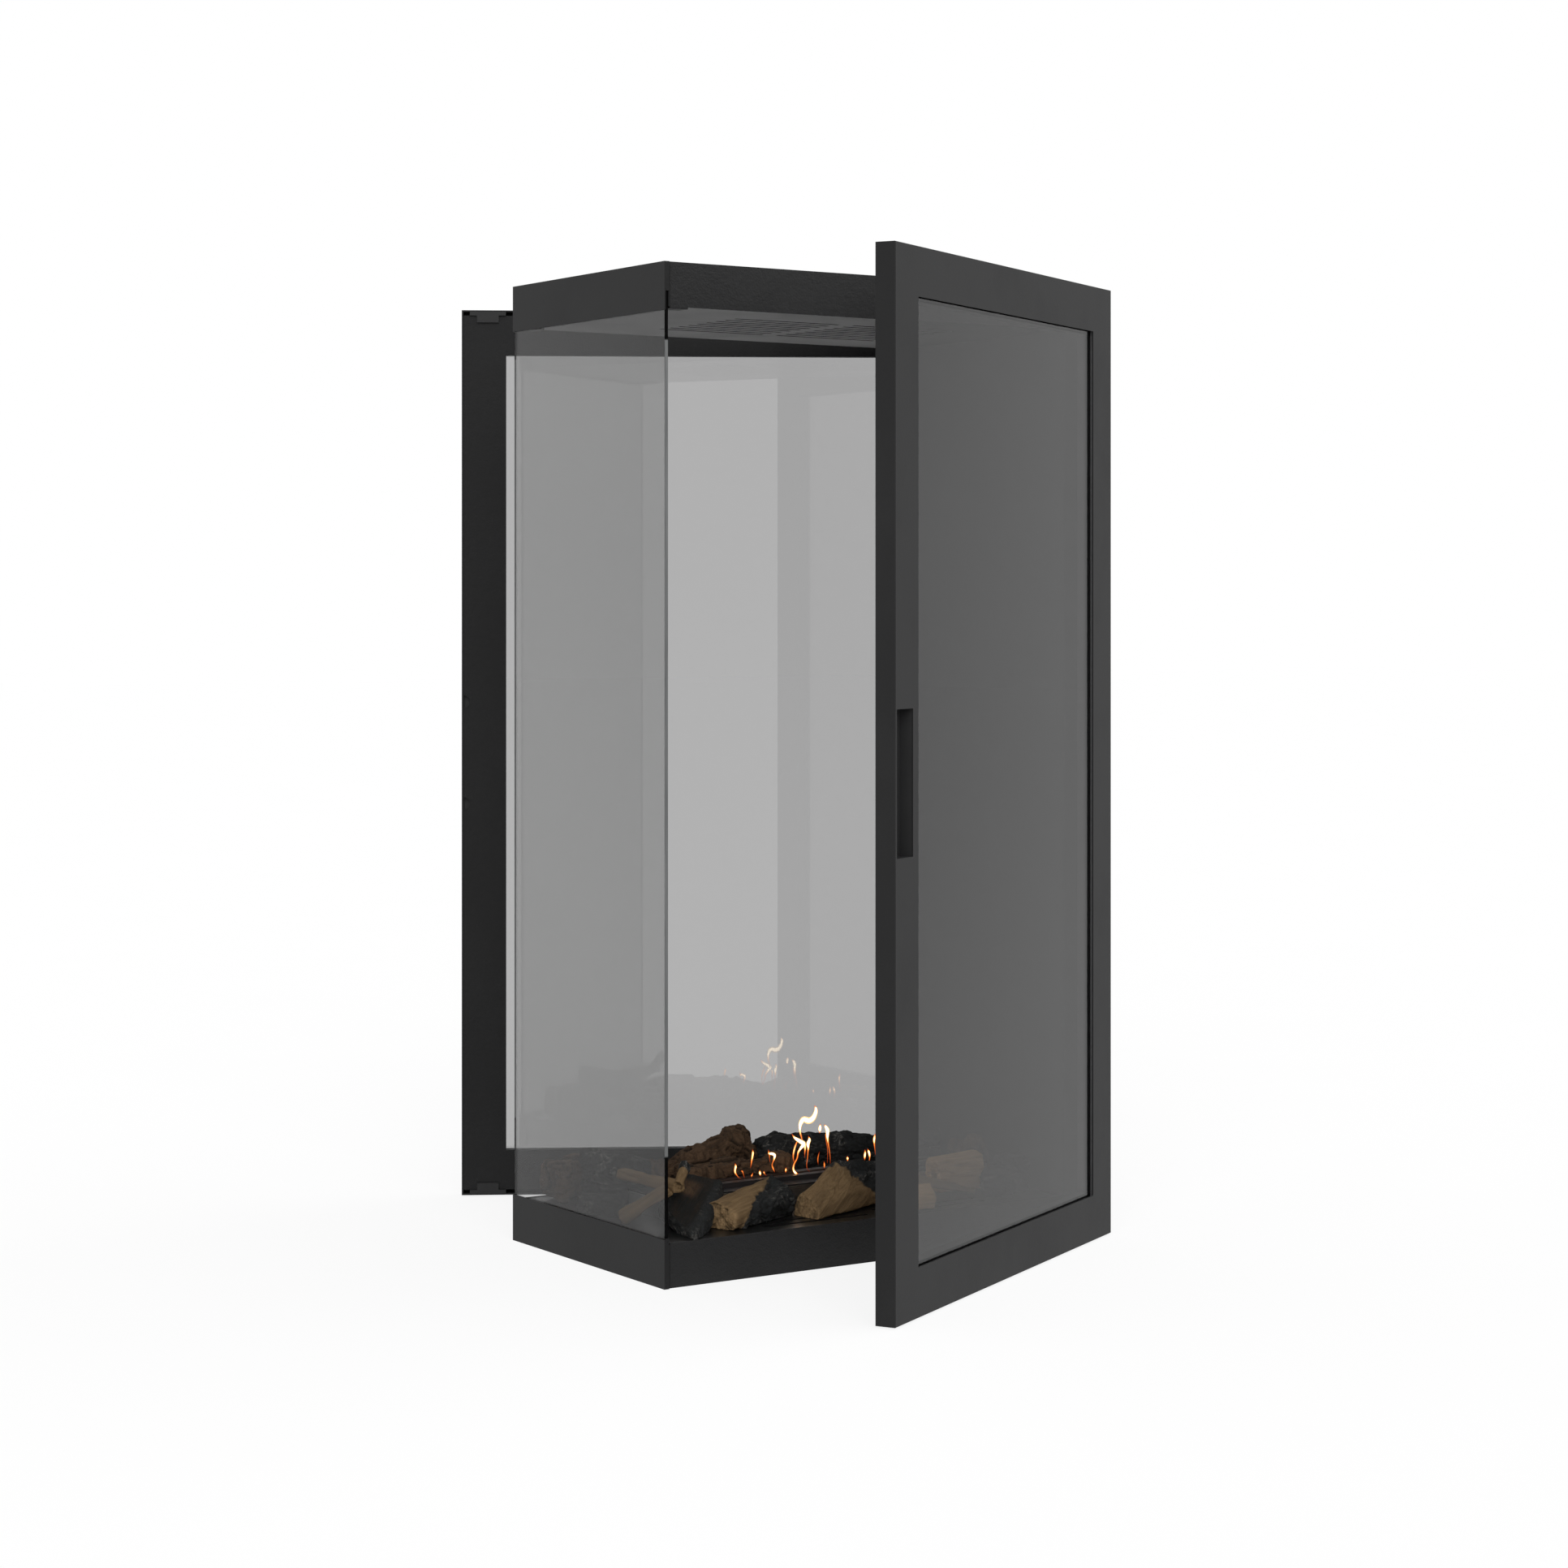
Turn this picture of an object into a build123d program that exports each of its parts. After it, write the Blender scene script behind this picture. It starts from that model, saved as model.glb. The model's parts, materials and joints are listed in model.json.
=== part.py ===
from build123d import *
from math import cos, radians, sin
from numpy import interp
import os

os.makedirs("parts", exist_ok=True)

# Cabinet: +X to the right, -Y to the front, +Z up, origin at the centre of its base
cabinet_width = 608.0
cabinet_height = 1150.0
cabinet_depth = 352.0
sheet = 1.5
cover_sheet = 2.0
base_sheet = 3.0
cut_margin = 1.0

# Bands above and below the openings
band_height = 50.5
band_recess = 3.0
band_flange = 14.0
band_gap = 2.2
hearth_drop = 1.0
left_header_height = 54.5
left_plinth_height = 55.5

# Side glass and the channels that hold it
glass_thickness = 4.0
lip_thickness = 1.1
glass_end_inset = 1.5
glass_seat_height = 28.0
glass_top_cover = 33.0
glass_tape = 1.2
stop_bottom = 32.0
stop_top = 56.7

# Right wall
wall_thickness = 42.0
stile_edge_radius = 0.7
air_inlet_height = 12.0
air_inlet_margin = 50.0
base_plate_overlap = 17.0
insulation_end_gap = 20.0

# Slots in the ceiling plate, hearth plate and top cover
slot_width = 6.0
slot_pitch = 20.75
slot_count = 9
slot_length = 146.0
slot_group_offset = 10.5
slot_group_shift = 5.5
hearth_slot_inset = 33.0
hearth_slot_count = 2

# Burner
burner_end_gap = 42.0
burner_depth = 80.0
burner_rise = 24.0
burner_foot_width = 30.0
burner_foot_height = 10.0
hearth_cutout_gap = 1.0
collar_depth = 36.0
collar_rise = 5.5
collar_end_inset = 30.0
flame_slot_width = 10.0
flame_slot_inset = 10.0
wool_depth_below_rim = 16.0
snuffer_width = 18.0
snuffer_parking = 2.0
snuffer_gap = 0.2
snuffer_drop = 0.5
snuffer_end_inset = 8.0
guide_ledge = 6.0
knob_rod_radius = 2.5
knob_rod_clearance = 0.4
knob_inset = 13.0
knob_radius = 7.0
knob_height = 9.0
knob_lift = 7.0
knob_edge_radius = 1.75

# Doors, both hinged on the right
door_side_gap = 0.5
door_bottom_gap = 2.0
door_top_gap = 1.0
door_thickness = 23.5
door_cabinet_gap = 3.0
door_edge_radius = 0.8
front_door_angle = 29.1
back_door_angle = 29.7
stile_width = 57.0
rail_width = 54.0
inner_rail_width = 58.0
rim_thickness = 2.0
glass_recess = 4.0
glass_overlap = 12.0
tape_inset = 1.0
tape_width = 10.0
panel_side_gap = 0.5
panel_end_gap = 5.0
panel_notch_radius = 8.0
panel_notch_spacing = 132.0

# Grip cup in each door's free stile
grip_width = 40.0
grip_height = 158.0
grip_depth = 16.0
grip_edge_inset = 3.4
grip_wall = 1.2

# T-shaped strikers on each door and the catches they close on
striker_thickness = 3.0
striker_edge_inset = 10.5
striker_bar_width = 46.5
striker_bar_height = 5.0
striker_tongue_width = 28.0
striker_height = 14.0
magnet_width = 30.0
magnet_depth = 12.0
magnet_height = 20.0
magnet_end_gap = 10.0
catch_plate_width = 24.0
catch_plate_depth = 20.0
catch_plate_thickness = 2.0

# Hinges: pivot set back from the door's hinge edge and from the cabinet's front plane
pivot_edge_inset = 10.0
pivot_setback = 13.5
pin_radius = 4.0
bush_clearance = 0.05
bush_radius = 6.0
bush_flange_radius = 8.0
bush_flange_gap = 0.1
bracket_thickness = 5.0
bracket_reach = 26.5
bracket_end_gap = 4.0
arm_thickness = 5.0
arm_width = 14.0
arm_bracket_gap = 2.0
arm_flange_thickness = 3.0
arm_flange_width = 29.0
arm_flange_height = 31.0
arm_notch_gap = 1.0
arm_notch_clear = 2.0
arm_sweep = 12.3

# Countersunk screws
screw_head_radius = 4.0
screw_radius = 2.0
screw_clearance = 0.05
screw_length = 8.0
cover_screw_count = 4
cover_screw_margin = 34.0
hinge_screw_pitch = 14.0

# Bed that the wood set was laid out on, from its middle: one wall, the burner's two edges, the other wall
wood_bed_x = (-279.7, -202.3, 237.7, 279.7)
wood_bed_y = (-171.5, -40.0, 40.0, 171.5)
wood_gap = 0.3

# Planes and lines worked out from the driving sizes
half_width = cabinet_width / 2
half_depth = cabinet_depth / 2
band_face = half_depth - band_recess
band_back = band_face - sheet
glass_outer = -half_width + sheet
glass_inner = glass_outer + glass_thickness
lip_inner = glass_inner + lip_thickness
band_start = lip_inner + band_gap
wall_inner = half_width - wall_thickness
liner_back = wall_inner + sheet
casing_inner = half_width - sheet
hearth_top = band_height - hearth_drop
hearth_bottom = hearth_top - sheet
ceiling_bottom = cabinet_height - band_height
ceiling_top = ceiling_bottom + sheet
cover_bottom = cabinet_height - cover_sheet
pivot_x = half_width - door_side_gap - pivot_edge_inset
pivot_y = half_depth - pivot_setback


def save(piece, name):
    """Label a finished piece and write it."""
    piece.part.label = name
    export_step(piece.part, f"parts/{name}.step")


def box_between(low, high, mode=Mode.ADD):
    """Add a box given by its lowest and highest corners."""
    with Locations(low):
        Box(*(b - a for a, b in zip(low, high)), align=(Align.MIN, Align.MIN, Align.MIN), mode=mode)


def both_ends(y_near, y_far):
    """Give the y span at the front, then the same span mirrored to the back."""
    return ((-y_far, -y_near), (y_near, y_far))


def band(bottom, top, flange_bottom, flange_holes, side):
    """One band: a face with a flange folded inwards, side -1 at the front and +1 at the back."""
    y_low, y_high = both_ends(band_back, band_face)[side > 0]
    f_low, f_high = both_ends(band_back - band_flange, band_back)[side > 0]
    with BuildPart() as piece:
        box_between((band_start, y_low, bottom), (wall_inner, y_high, top))
        box_between((band_start, f_low, flange_bottom), (wall_inner, f_high, flange_bottom + sheet))
        if flange_holes:
            with Locations(*((x, side * cover_screw_y, flange_bottom) for x in flange_holes)):
                Cylinder(screw_radius + screw_clearance, 3 * sheet, mode=Mode.SUBTRACT)
    return piece


def slot_row(y_values, thickness, level):
    """Cut two groups of slots that run along X through a flat plate."""
    middles = (-slot_group_offset - slot_length / 2, slot_group_offset + slot_length / 2)
    places = [(slot_group_shift + x, y, level) for x in middles for y in y_values]
    with Locations(*places):
        Box(slot_length, slot_width, 3 * thickness, mode=Mode.SUBTRACT)


# Rows of slots and screws
ceiling_slot_rows = [(i - (slot_count - 1) / 2) * slot_pitch for i in range(slot_count)]
edge_slot_rows = [half_depth - hearth_slot_inset - i * slot_pitch for i in range(hearth_slot_count)]
cover_screw_y = band_back - band_flange / 2
cover_screw_span = wall_inner - band_start - 2 * cover_screw_margin
cover_screw_x = [band_start + cover_screw_margin + i * cover_screw_span / (cover_screw_count - 1)
                 for i in range(cover_screw_count)]

# Base plate
with BuildPart() as base_plate:
    box_between((lip_inner, -band_back, 0), (wall_inner + base_plate_overlap, band_back, base_sheet))
save(base_plate, "base_plate")

# Burner levels and ends
burner_half = half_width - wall_thickness - burner_end_gap
tank_top = hearth_top + burner_rise - sheet
plate_top = hearth_top + burner_rise
collar_top = plate_top + collar_rise
collar_half = burner_half - collar_end_inset

# Hearth plate with the opening for the burner
with BuildPart() as hearth_plate:
    box_between((lip_inner, -band_back, hearth_bottom), (wall_inner, band_back, hearth_top))
    cut_x = burner_half + hearth_cutout_gap
    cut_y = burner_depth / 2 + hearth_cutout_gap
    box_between((-cut_x, -cut_y, hearth_bottom - cut_margin), (cut_x, cut_y, hearth_top + cut_margin),
                Mode.SUBTRACT)
    slot_row([-y for y in edge_slot_rows] + edge_slot_rows, sheet, hearth_top)
save(hearth_plate, "hearth_plate")

# Plinth and header bands
for side, place in ((-1, "front"), (1, "back")):
    save(band(0, band_height, hearth_bottom - sheet, (), side), f"{place}_plinth")
    save(band(ceiling_bottom, cabinet_height, cover_bottom - sheet, cover_screw_x, side),
         f"{place}_header")

# Left plinth panel: outer skin, glass seat, inner lip, foot and closed ends
with BuildPart() as left_plinth_panel:
    box_between((-half_width, -half_depth, 0), (glass_outer, half_depth, left_plinth_height))
    box_between((glass_outer, -half_depth, 0), (lip_inner, half_depth, sheet))
    box_between((glass_inner, -half_depth, 0), (lip_inner, half_depth, hearth_top))
    box_between((glass_outer, -half_depth, glass_seat_height),
                (glass_inner, half_depth, glass_seat_height + sheet))
    for y_low, y_high in both_ends(half_depth - glass_end_inset, half_depth):
        box_between((glass_outer, y_low, 0), (glass_inner, y_high, stop_bottom))
save(left_plinth_panel, "left_plinth_panel")

# Left header panel: the same section, turned over
glass_bottom = glass_seat_height + sheet + glass_tape
glass_top = cabinet_height - glass_top_cover
with BuildPart() as left_header_panel:
    box_between((-half_width, -half_depth, cabinet_height - left_header_height),
                (glass_outer, half_depth, cabinet_height))
    box_between((glass_outer, -half_depth, cabinet_height - sheet), (lip_inner, half_depth, cabinet_height))
    box_between((glass_inner, -half_depth, ceiling_bottom), (lip_inner, half_depth, cabinet_height))
    box_between((glass_outer, -half_depth, glass_top + glass_tape),
                (glass_inner, half_depth, glass_top + glass_tape + sheet))
    for y_low, y_high in both_ends(half_depth - glass_end_inset, half_depth):
        box_between((glass_outer, y_low, glass_top), (glass_inner, y_high, cabinet_height))
save(left_header_panel, "left_header_panel")

# Side glass, the tape at its two edges and the stops at its bottom corners
glass_end = half_depth - glass_end_inset
with BuildPart() as side_glass:
    box_between((glass_outer, -glass_end, glass_bottom), (glass_inner, glass_end, glass_top))
save(side_glass, "side_glass")

with BuildPart() as side_glass_tape:
    for level in (glass_bottom - glass_tape, glass_top):
        box_between((glass_outer, -glass_end, level), (glass_inner, glass_end, level + glass_tape))
save(side_glass_tape, "side_glass_tape")

with BuildPart() as side_glass_stops:
    for y_low, y_high in both_ends(glass_end, half_depth):
        box_between((glass_outer, y_low, stop_bottom), (glass_inner, y_high, stop_top))
save(side_glass_stops, "side_glass_stops")

# Ceiling plate with two groups of slots
with BuildPart() as ceiling_louvre:
    box_between((lip_inner, -band_back, ceiling_bottom), (wall_inner, band_back, ceiling_top))
    slot_row(ceiling_slot_rows, sheet, ceiling_bottom)
save(ceiling_louvre, "ceiling_louvre")

# Top cover with heat outlet slots and countersunk screw holes
with BuildPart() as top_cover:
    box_between((lip_inner, -band_back, cover_bottom), (casing_inner, band_back, cabinet_height))
    slot_row(ceiling_slot_rows[1:-1], cover_sheet, cabinet_height)
    with Locations(*((x, y, cabinet_height) for x in cover_screw_x for y in (-cover_screw_y, cover_screw_y))):
        CounterSinkHole(radius=screw_radius + screw_clearance,
                        counter_sink_radius=screw_head_radius + screw_clearance,
                        depth=2 * cover_sheet, counter_sink_angle=90)
save(top_cover, "top_cover")


# One countersunk screw, its head's face at the origin, and the screws that hold the top cover
with BuildPart() as screw:
    with BuildSketch(Plane.XZ):
        with BuildLine():
            Polyline((0, 0), (screw_head_radius, 0), (screw_radius, screw_radius - screw_head_radius),
                     (screw_radius, -screw_length), (0, -screw_length), close=True)
        make_face()
    revolve(axis=Axis.Z)

with BuildPart() as cabinet_screws:
    with Locations(*((x, y, cabinet_height) for x in cover_screw_x for y in (-cover_screw_y, cover_screw_y))):
        add(screw.part)
save(cabinet_screws, "cabinet_screws")

# Hinge levels, from the bottom and from the top of the cabinet
low_bracket = bracket_end_gap
low_arm = low_bracket + bracket_thickness + arm_bracket_gap
high_bracket = cabinet_height - bracket_end_gap - bracket_thickness
high_arm = high_bracket - arm_bracket_gap - arm_thickness

# Right wall liner, open at the bottom for the air inlet
inlet_half = half_depth - air_inlet_margin
with BuildPart() as right_wall_liner:
    box_between((wall_inner, -band_back, base_sheet), (liner_back, band_back, cover_bottom))
    box_between((wall_inner - cut_margin, -inlet_half, -cut_margin),
                (liner_back + cut_margin, inlet_half, air_inlet_height), Mode.SUBTRACT)
save(right_wall_liner, "right_wall_liner")

# Right wall casing: outer skin, front and back stiles, notched at the hinges
notch_left = pivot_x - arm_width / 2 - arm_notch_gap
notch_inner = pivot_y - arm_sweep
with BuildPart() as right_wall_casing:
    box_between((casing_inner, -band_face, 0), (half_width, band_face, cabinet_height))
    for y_low, y_high in both_ends(band_back, band_face):
        box_between((wall_inner, y_low, 0), (half_width, y_high, cabinet_height))
    stile_edges = right_wall_casing.edges().filter_by(Axis.Z)
    stile_edges = stile_edges.filter_by(lambda edge: abs(edge.center().Y) > band_face - sheet / 2)
    fillet(stile_edges, stile_edge_radius)
    box_between((casing_inner - cut_margin, -inlet_half, -cut_margin),
                (half_width + cut_margin, inlet_half, air_inlet_height), Mode.SUBTRACT)
    for level in (low_arm, high_arm):
        for y_low, y_high in both_ends(notch_inner, half_depth):
            box_between((notch_left, y_low, level - arm_notch_clear),
                        (half_width + cut_margin, y_high, level + arm_thickness + arm_notch_clear),
                        Mode.SUBTRACT)
save(right_wall_casing, "right_wall_casing")

# Insulation board between liner and casing
with BuildPart() as right_wall_insulation:
    box_between((liner_back, -band_back, insulation_end_gap + low_arm),
                (casing_inner, band_back, high_arm - insulation_end_gap))
save(right_wall_insulation, "right_wall_insulation")

# Hinge brackets with their bushes, one at each corner of the right wall, top and bottom
bracket_levels = (low_bracket, high_bracket)
with BuildPart() as hinge_brackets:
    for level in bracket_levels:
        for y_low, y_high in both_ends(band_back - bracket_reach, band_back):
            box_between((liner_back, y_low, level), (casing_inner, y_high, level + bracket_thickness))
    for level in bracket_levels:
        with Locations(*((pivot_x, y, level + bracket_thickness / 2) for y in (-pivot_y, pivot_y))):
            Cylinder(bush_radius, bracket_thickness, mode=Mode.SUBTRACT)
save(hinge_brackets, "hinge_brackets")

bush_flange = arm_bracket_gap - bush_flange_gap
with BuildPart() as hinge_bushes:
    for y in (-pivot_y, pivot_y):
        for level, flange_level in ((low_bracket, low_bracket + bracket_thickness),
                                    (high_bracket, high_bracket - bush_flange)):
            with BuildSketch(Plane.XY.offset(level)):
                with Locations((pivot_x, y)):
                    Circle(bush_radius)
            extrude(amount=bracket_thickness)
            with BuildSketch(Plane.XY.offset(flange_level)):
                with Locations((pivot_x, y)):
                    Circle(bush_flange_radius)
            extrude(amount=bush_flange)
    with Locations((pivot_x, -pivot_y, cabinet_height / 2), (pivot_x, pivot_y, cabinet_height / 2)):
        Cylinder(pin_radius + bush_clearance, cabinet_height, mode=Mode.SUBTRACT)
save(hinge_bushes, "hinge_bushes")

# Catches at the doors' free side: magnets behind the bands, plates under the ceiling
magnet_x = -half_width + door_side_gap + striker_edge_inset + striker_bar_width / 2
with BuildPart() as catch_magnets:
    for y_low, y_high in both_ends(band_back - magnet_depth, band_back):
        for level in (magnet_end_gap, cabinet_height - magnet_end_gap - magnet_height):
            box_between((magnet_x - magnet_width / 2, y_low, level),
                        (magnet_x + magnet_width / 2, y_high, level + magnet_height))
save(catch_magnets, "catch_magnets")

with BuildPart() as catch_plates:
    for y_low, y_high in both_ends(band_face - catch_plate_depth, band_face):
        box_between((band_start, y_low, ceiling_bottom - catch_plate_thickness),
                    (band_start + catch_plate_width, y_high, ceiling_bottom))
save(catch_plates, "catch_plates")

# Burner tank on two feet
tank_bottom = base_sheet + burner_foot_height
tank_floor = tank_bottom + sheet
with BuildPart() as burner_tank:
    box_between((-burner_half, -burner_depth / 2, tank_bottom), (burner_half, burner_depth / 2, tank_top))
    box_between((sheet - burner_half, sheet - burner_depth / 2, tank_floor),
                (burner_half - sheet, burner_depth / 2 - sheet, tank_top + cut_margin), Mode.SUBTRACT)
    for x in (-burner_half / 2, burner_half / 2):
        box_between((x - burner_foot_width / 2, -burner_depth / 2, base_sheet),
                    (x + burner_foot_width / 2, burner_depth / 2, tank_bottom))
save(burner_tank, "burner_tank")

with BuildPart() as burner_wool:
    box_between((sheet - burner_half, sheet - burner_depth / 2, tank_floor),
                (burner_half - sheet, burner_depth / 2 - sheet, tank_top - wool_depth_below_rim))
save(burner_wool, "burner_wool")

# Snuffer slide, parked behind the flame slot
snuffer_y = flame_slot_width / 2 + snuffer_parking + snuffer_width / 2
snuffer_top = tank_top - snuffer_drop
snuffer_bottom = snuffer_top - sheet
snuffer_half = burner_half - sheet - snuffer_end_inset
knob_x = burner_half - knob_inset - sheet - snuffer_gap

# Burner top plate: raised collar with the flame slot, and a short slot for the snuffer's rod
with BuildPart() as burner_top_plate:
    box_between((-burner_half, -burner_depth / 2, tank_top), (burner_half, burner_depth / 2, plate_top))
    box_between((-collar_half, -collar_depth / 2, plate_top), (collar_half, collar_depth / 2, collar_top))
    box_between((sheet - collar_half, sheet - collar_depth / 2, tank_top - cut_margin),
                (collar_half - sheet, collar_depth / 2 - sheet, collar_top - sheet), Mode.SUBTRACT)
    flame_half = collar_half - flame_slot_inset
    box_between((-flame_half, -flame_slot_width / 2, collar_top - 2 * sheet),
                (flame_half, flame_slot_width / 2, collar_top + cut_margin), Mode.SUBTRACT)
    rod_hole = knob_rod_radius + knob_rod_clearance
    box_between((knob_x - rod_hole, -rod_hole, tank_top - cut_margin),
                (knob_x + rod_hole, snuffer_y + rod_hole, plate_top + cut_margin), Mode.SUBTRACT)
save(burner_top_plate, "burner_top_plate")

with BuildPart() as snuffer_guides:
    for x_low, x_high in both_ends(snuffer_half - guide_ledge, burner_half - sheet):
        box_between((x_low, sheet - burner_depth / 2, snuffer_bottom - snuffer_gap - sheet),
                    (x_high, burner_depth / 2 - sheet, snuffer_bottom - snuffer_gap))
save(snuffer_guides, "snuffer_guides")

with BuildPart() as burner_snuffer:
    box_between((-snuffer_half, snuffer_y - snuffer_width / 2, snuffer_bottom),
                (snuffer_half, snuffer_y + snuffer_width / 2, snuffer_top))
save(burner_snuffer, "burner_snuffer")

with BuildPart() as snuffer_knob:
    with BuildSketch(Plane.XY.offset(snuffer_top)):
        with Locations((knob_x, snuffer_y)):
            Circle(knob_rod_radius)
    extrude(amount=plate_top + knob_lift - snuffer_top)
    with BuildSketch(Plane.XY.offset(plate_top + knob_lift)):
        with Locations((knob_x, snuffer_y)):
            Circle(knob_radius)
    extrude(amount=knob_height)
    fillet(snuffer_knob.faces().sort_by(Axis.Z)[-1].edges(), knob_edge_radius)
save(snuffer_knob, "snuffer_knob")

# Door levels, as distances in front of the hinge axis
door_back = pivot_setback + door_cabinet_gap
door_face = door_back + door_thickness
glass_face = door_face - glass_recess
glass_rear = glass_face - glass_thickness
door_width = cabinet_width - 2 * door_side_gap
door_top = cabinet_height - door_top_gap
door_height = door_top - door_bottom_gap
door_middle = (door_top + door_bottom_gap) / 2
aperture_width = door_width - 2 * stile_width
aperture_height = door_height - 2 * rail_width
inner_aperture_height = door_height - 2 * inner_rail_width
panel_width = door_width - 2 * (rim_thickness + panel_side_gap)
panel_height = door_height - 2 * (rim_thickness + panel_end_gap)
tape_hole_width = aperture_width + 2 * tape_inset
tape_hole_height = aperture_height + 2 * tape_inset


def door_plane(hand, angle, distance):
    """Plane parallel to a door, at a distance in front of its hinge axis, local Y up.

    hand is 1 for the front door and -1 for the back door, whose local X runs the other way.
    """
    outward = Vector(sin(radians(angle)), -hand * cos(radians(angle)), 0)
    origin = Vector(pivot_x, -hand * pivot_y, 0) + outward * distance
    return Plane(origin=origin, x_dir=Vector(0, 0, 1).cross(outward), z_dir=outward)


def level_plane(hand, angle, height):
    """Level plane at the hinge axis, local X along the door and local -Y out through it."""
    door_line = door_plane(hand, angle, 0).x_dir
    return Plane(origin=(pivot_x, -hand * pivot_y, height), x_dir=door_line, z_dir=(0, 0, 1))


def slab(hand, angle, near, far, centre, size, mode=Mode.ADD):
    """Add a slab parallel to a door, between two distances from its hinge axis."""
    with BuildSketch(door_plane(hand, angle, near)) as outline:
        with Locations(centre):
            Rectangle(*size)
    extrude(outline.sketch, amount=far - near, mode=mode)


def hinge_screw_places(hand, angle):
    """Screw places on the hinge flanges, local Z towards the cabinet."""
    flange = door_plane(hand, angle, door_back - arm_flange_thickness)
    across = -hand * (arm_width / 2 + arm_flange_width / 2)
    low_row = low_arm + arm_flange_height / 2
    high_row = high_arm + arm_thickness - arm_flange_height / 2
    places = []
    for row in (low_row, high_row):
        for step in (-0.5, 0.5):
            spot = flange.from_local_coords((across, row + step * hinge_screw_pitch, 0))
            places.append(Plane(origin=spot, x_dir=flange.x_dir, z_dir=-flange.z_dir).location)
    return places


def make_door(place, hand, angle):
    """All pieces of one door, drawn at its rest angle."""
    centre = (hand * (pivot_edge_inset - door_width / 2), door_middle)
    free_edge = hand * (pivot_edge_inset - door_width)
    grip_centre = (free_edge + hand * (grip_edge_inset + grip_width / 2), door_middle)

    with BuildPart() as frame:
        slab(hand, angle, door_back, door_face, centre, (door_width, door_height))
        hinge_plane = door_plane(hand, angle, 0)
        outer_face = frame.faces().sort_by(Axis(hinge_plane.origin, hinge_plane.z_dir))[-1]
        fillet(outer_face.edges(), door_edge_radius)
        slab(hand, angle, door_back, door_face - sheet, centre,
             (door_width - 2 * rim_thickness, door_height - 2 * rim_thickness), Mode.SUBTRACT)
        slab(hand, angle, door_back, door_face, centre, (aperture_width, aperture_height), Mode.SUBTRACT)
        slab(hand, angle, door_back, door_face, grip_centre, (grip_width, grip_height), Mode.SUBTRACT)
    save(frame, f"{place}_door_frame")

    with BuildPart() as inner_panel:
        slab(hand, angle, door_back, door_back + sheet, centre, (panel_width, panel_height))
        slab(hand, angle, door_back, glass_rear, centre,
             (aperture_width + 2 * sheet, inner_aperture_height + 2 * sheet))
        slab(hand, angle, door_back, glass_rear, centre, (aperture_width, inner_aperture_height),
             Mode.SUBTRACT)
        panel_edge = centre[0] - hand * panel_width / 2
        with BuildSketch(door_plane(hand, angle, door_back)):
            with Locations((panel_edge, door_middle - panel_notch_spacing / 2),
                           (panel_edge, door_middle + panel_notch_spacing / 2)):
                Circle(panel_notch_radius)
        extrude(amount=sheet, mode=Mode.SUBTRACT)
        with Locations(*hinge_screw_places(hand, angle)):
            Cylinder(screw_radius + screw_clearance, 4 * arm_flange_thickness, mode=Mode.SUBTRACT)
    save(inner_panel, f"{place}_door_inner_panel")

    with BuildPart() as glass:
        slab(hand, angle, glass_rear, glass_face, centre,
             (aperture_width + 2 * glass_overlap, aperture_height + 2 * glass_overlap))
    save(glass, f"{place}_door_glass")

    with BuildPart() as tape:
        slab(hand, angle, glass_face, door_face - sheet, centre,
             (tape_hole_width + 2 * tape_width, tape_hole_height + 2 * tape_width))
        slab(hand, angle, glass_face, door_face - sheet, centre, (tape_hole_width, tape_hole_height),
             Mode.SUBTRACT)
    save(tape, f"{place}_door_glass_tape")

    with BuildPart() as cup:
        cup_front = door_face - sheet
        slab(hand, angle, door_face - grip_depth - grip_wall, cup_front, grip_centre,
             (grip_width + 2 * grip_wall, grip_height + 2 * grip_wall))
        slab(hand, angle, door_face - grip_depth, cup_front, grip_centre, (grip_width, grip_height),
             Mode.SUBTRACT)
    save(cup, f"{place}_door_grip_cup")

    with BuildPart() as strikers:
        striker_x = free_edge + hand * (striker_edge_inset + striker_bar_width / 2)
        bar_y = door_height / 2 - rim_thickness - striker_bar_height / 2
        tongue_y = door_height / 2 - rim_thickness - striker_height / 2
        with BuildSketch(door_plane(hand, angle, door_back - striker_thickness)):
            for turn in (-1, 1):
                with Locations((striker_x, door_middle + turn * bar_y)):
                    Rectangle(striker_bar_width, striker_bar_height)
                with Locations((striker_x, door_middle + turn * tongue_y)):
                    Rectangle(striker_tongue_width, striker_height)
        extrude(amount=striker_thickness)
    save(strikers, f"{place}_door_strikers")

    with BuildPart() as arms:
        flange_x = -hand * (arm_width / 2 + arm_flange_width / 2)
        for level, flange_level in ((low_arm, low_arm),
                                    (high_arm, high_arm + arm_thickness - arm_flange_height)):
            with BuildSketch(level_plane(hand, angle, level)):
                Circle(arm_width / 2)
                with Locations((0, -door_back / 2)):
                    Rectangle(arm_width, door_back)
            extrude(amount=arm_thickness)
            slab(hand, angle, door_back - arm_flange_thickness, door_back,
                 (flange_x, flange_level + arm_flange_height / 2), (arm_flange_width, arm_flange_height))
        with Locations((pivot_x, -hand * pivot_y, cabinet_height / 2)):
            Cylinder(pin_radius, cabinet_height, mode=Mode.SUBTRACT)
        with Locations(*hinge_screw_places(hand, angle)):
            CounterSinkHole(radius=screw_radius + screw_clearance,
                            counter_sink_radius=screw_head_radius, depth=2 * arm_flange_thickness,
                            counter_sink_angle=90)
    save(arms, f"{place}_door_hinge_arms")

    with BuildPart() as pins:
        for low, high in ((low_bracket, low_arm + arm_thickness),
                          (high_arm, high_bracket + bracket_thickness)):
            with BuildSketch(level_plane(hand, angle, low)):
                Circle(pin_radius)
            extrude(amount=high - low)
    save(pins, f"{place}_door_hinge_pins")

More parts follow.
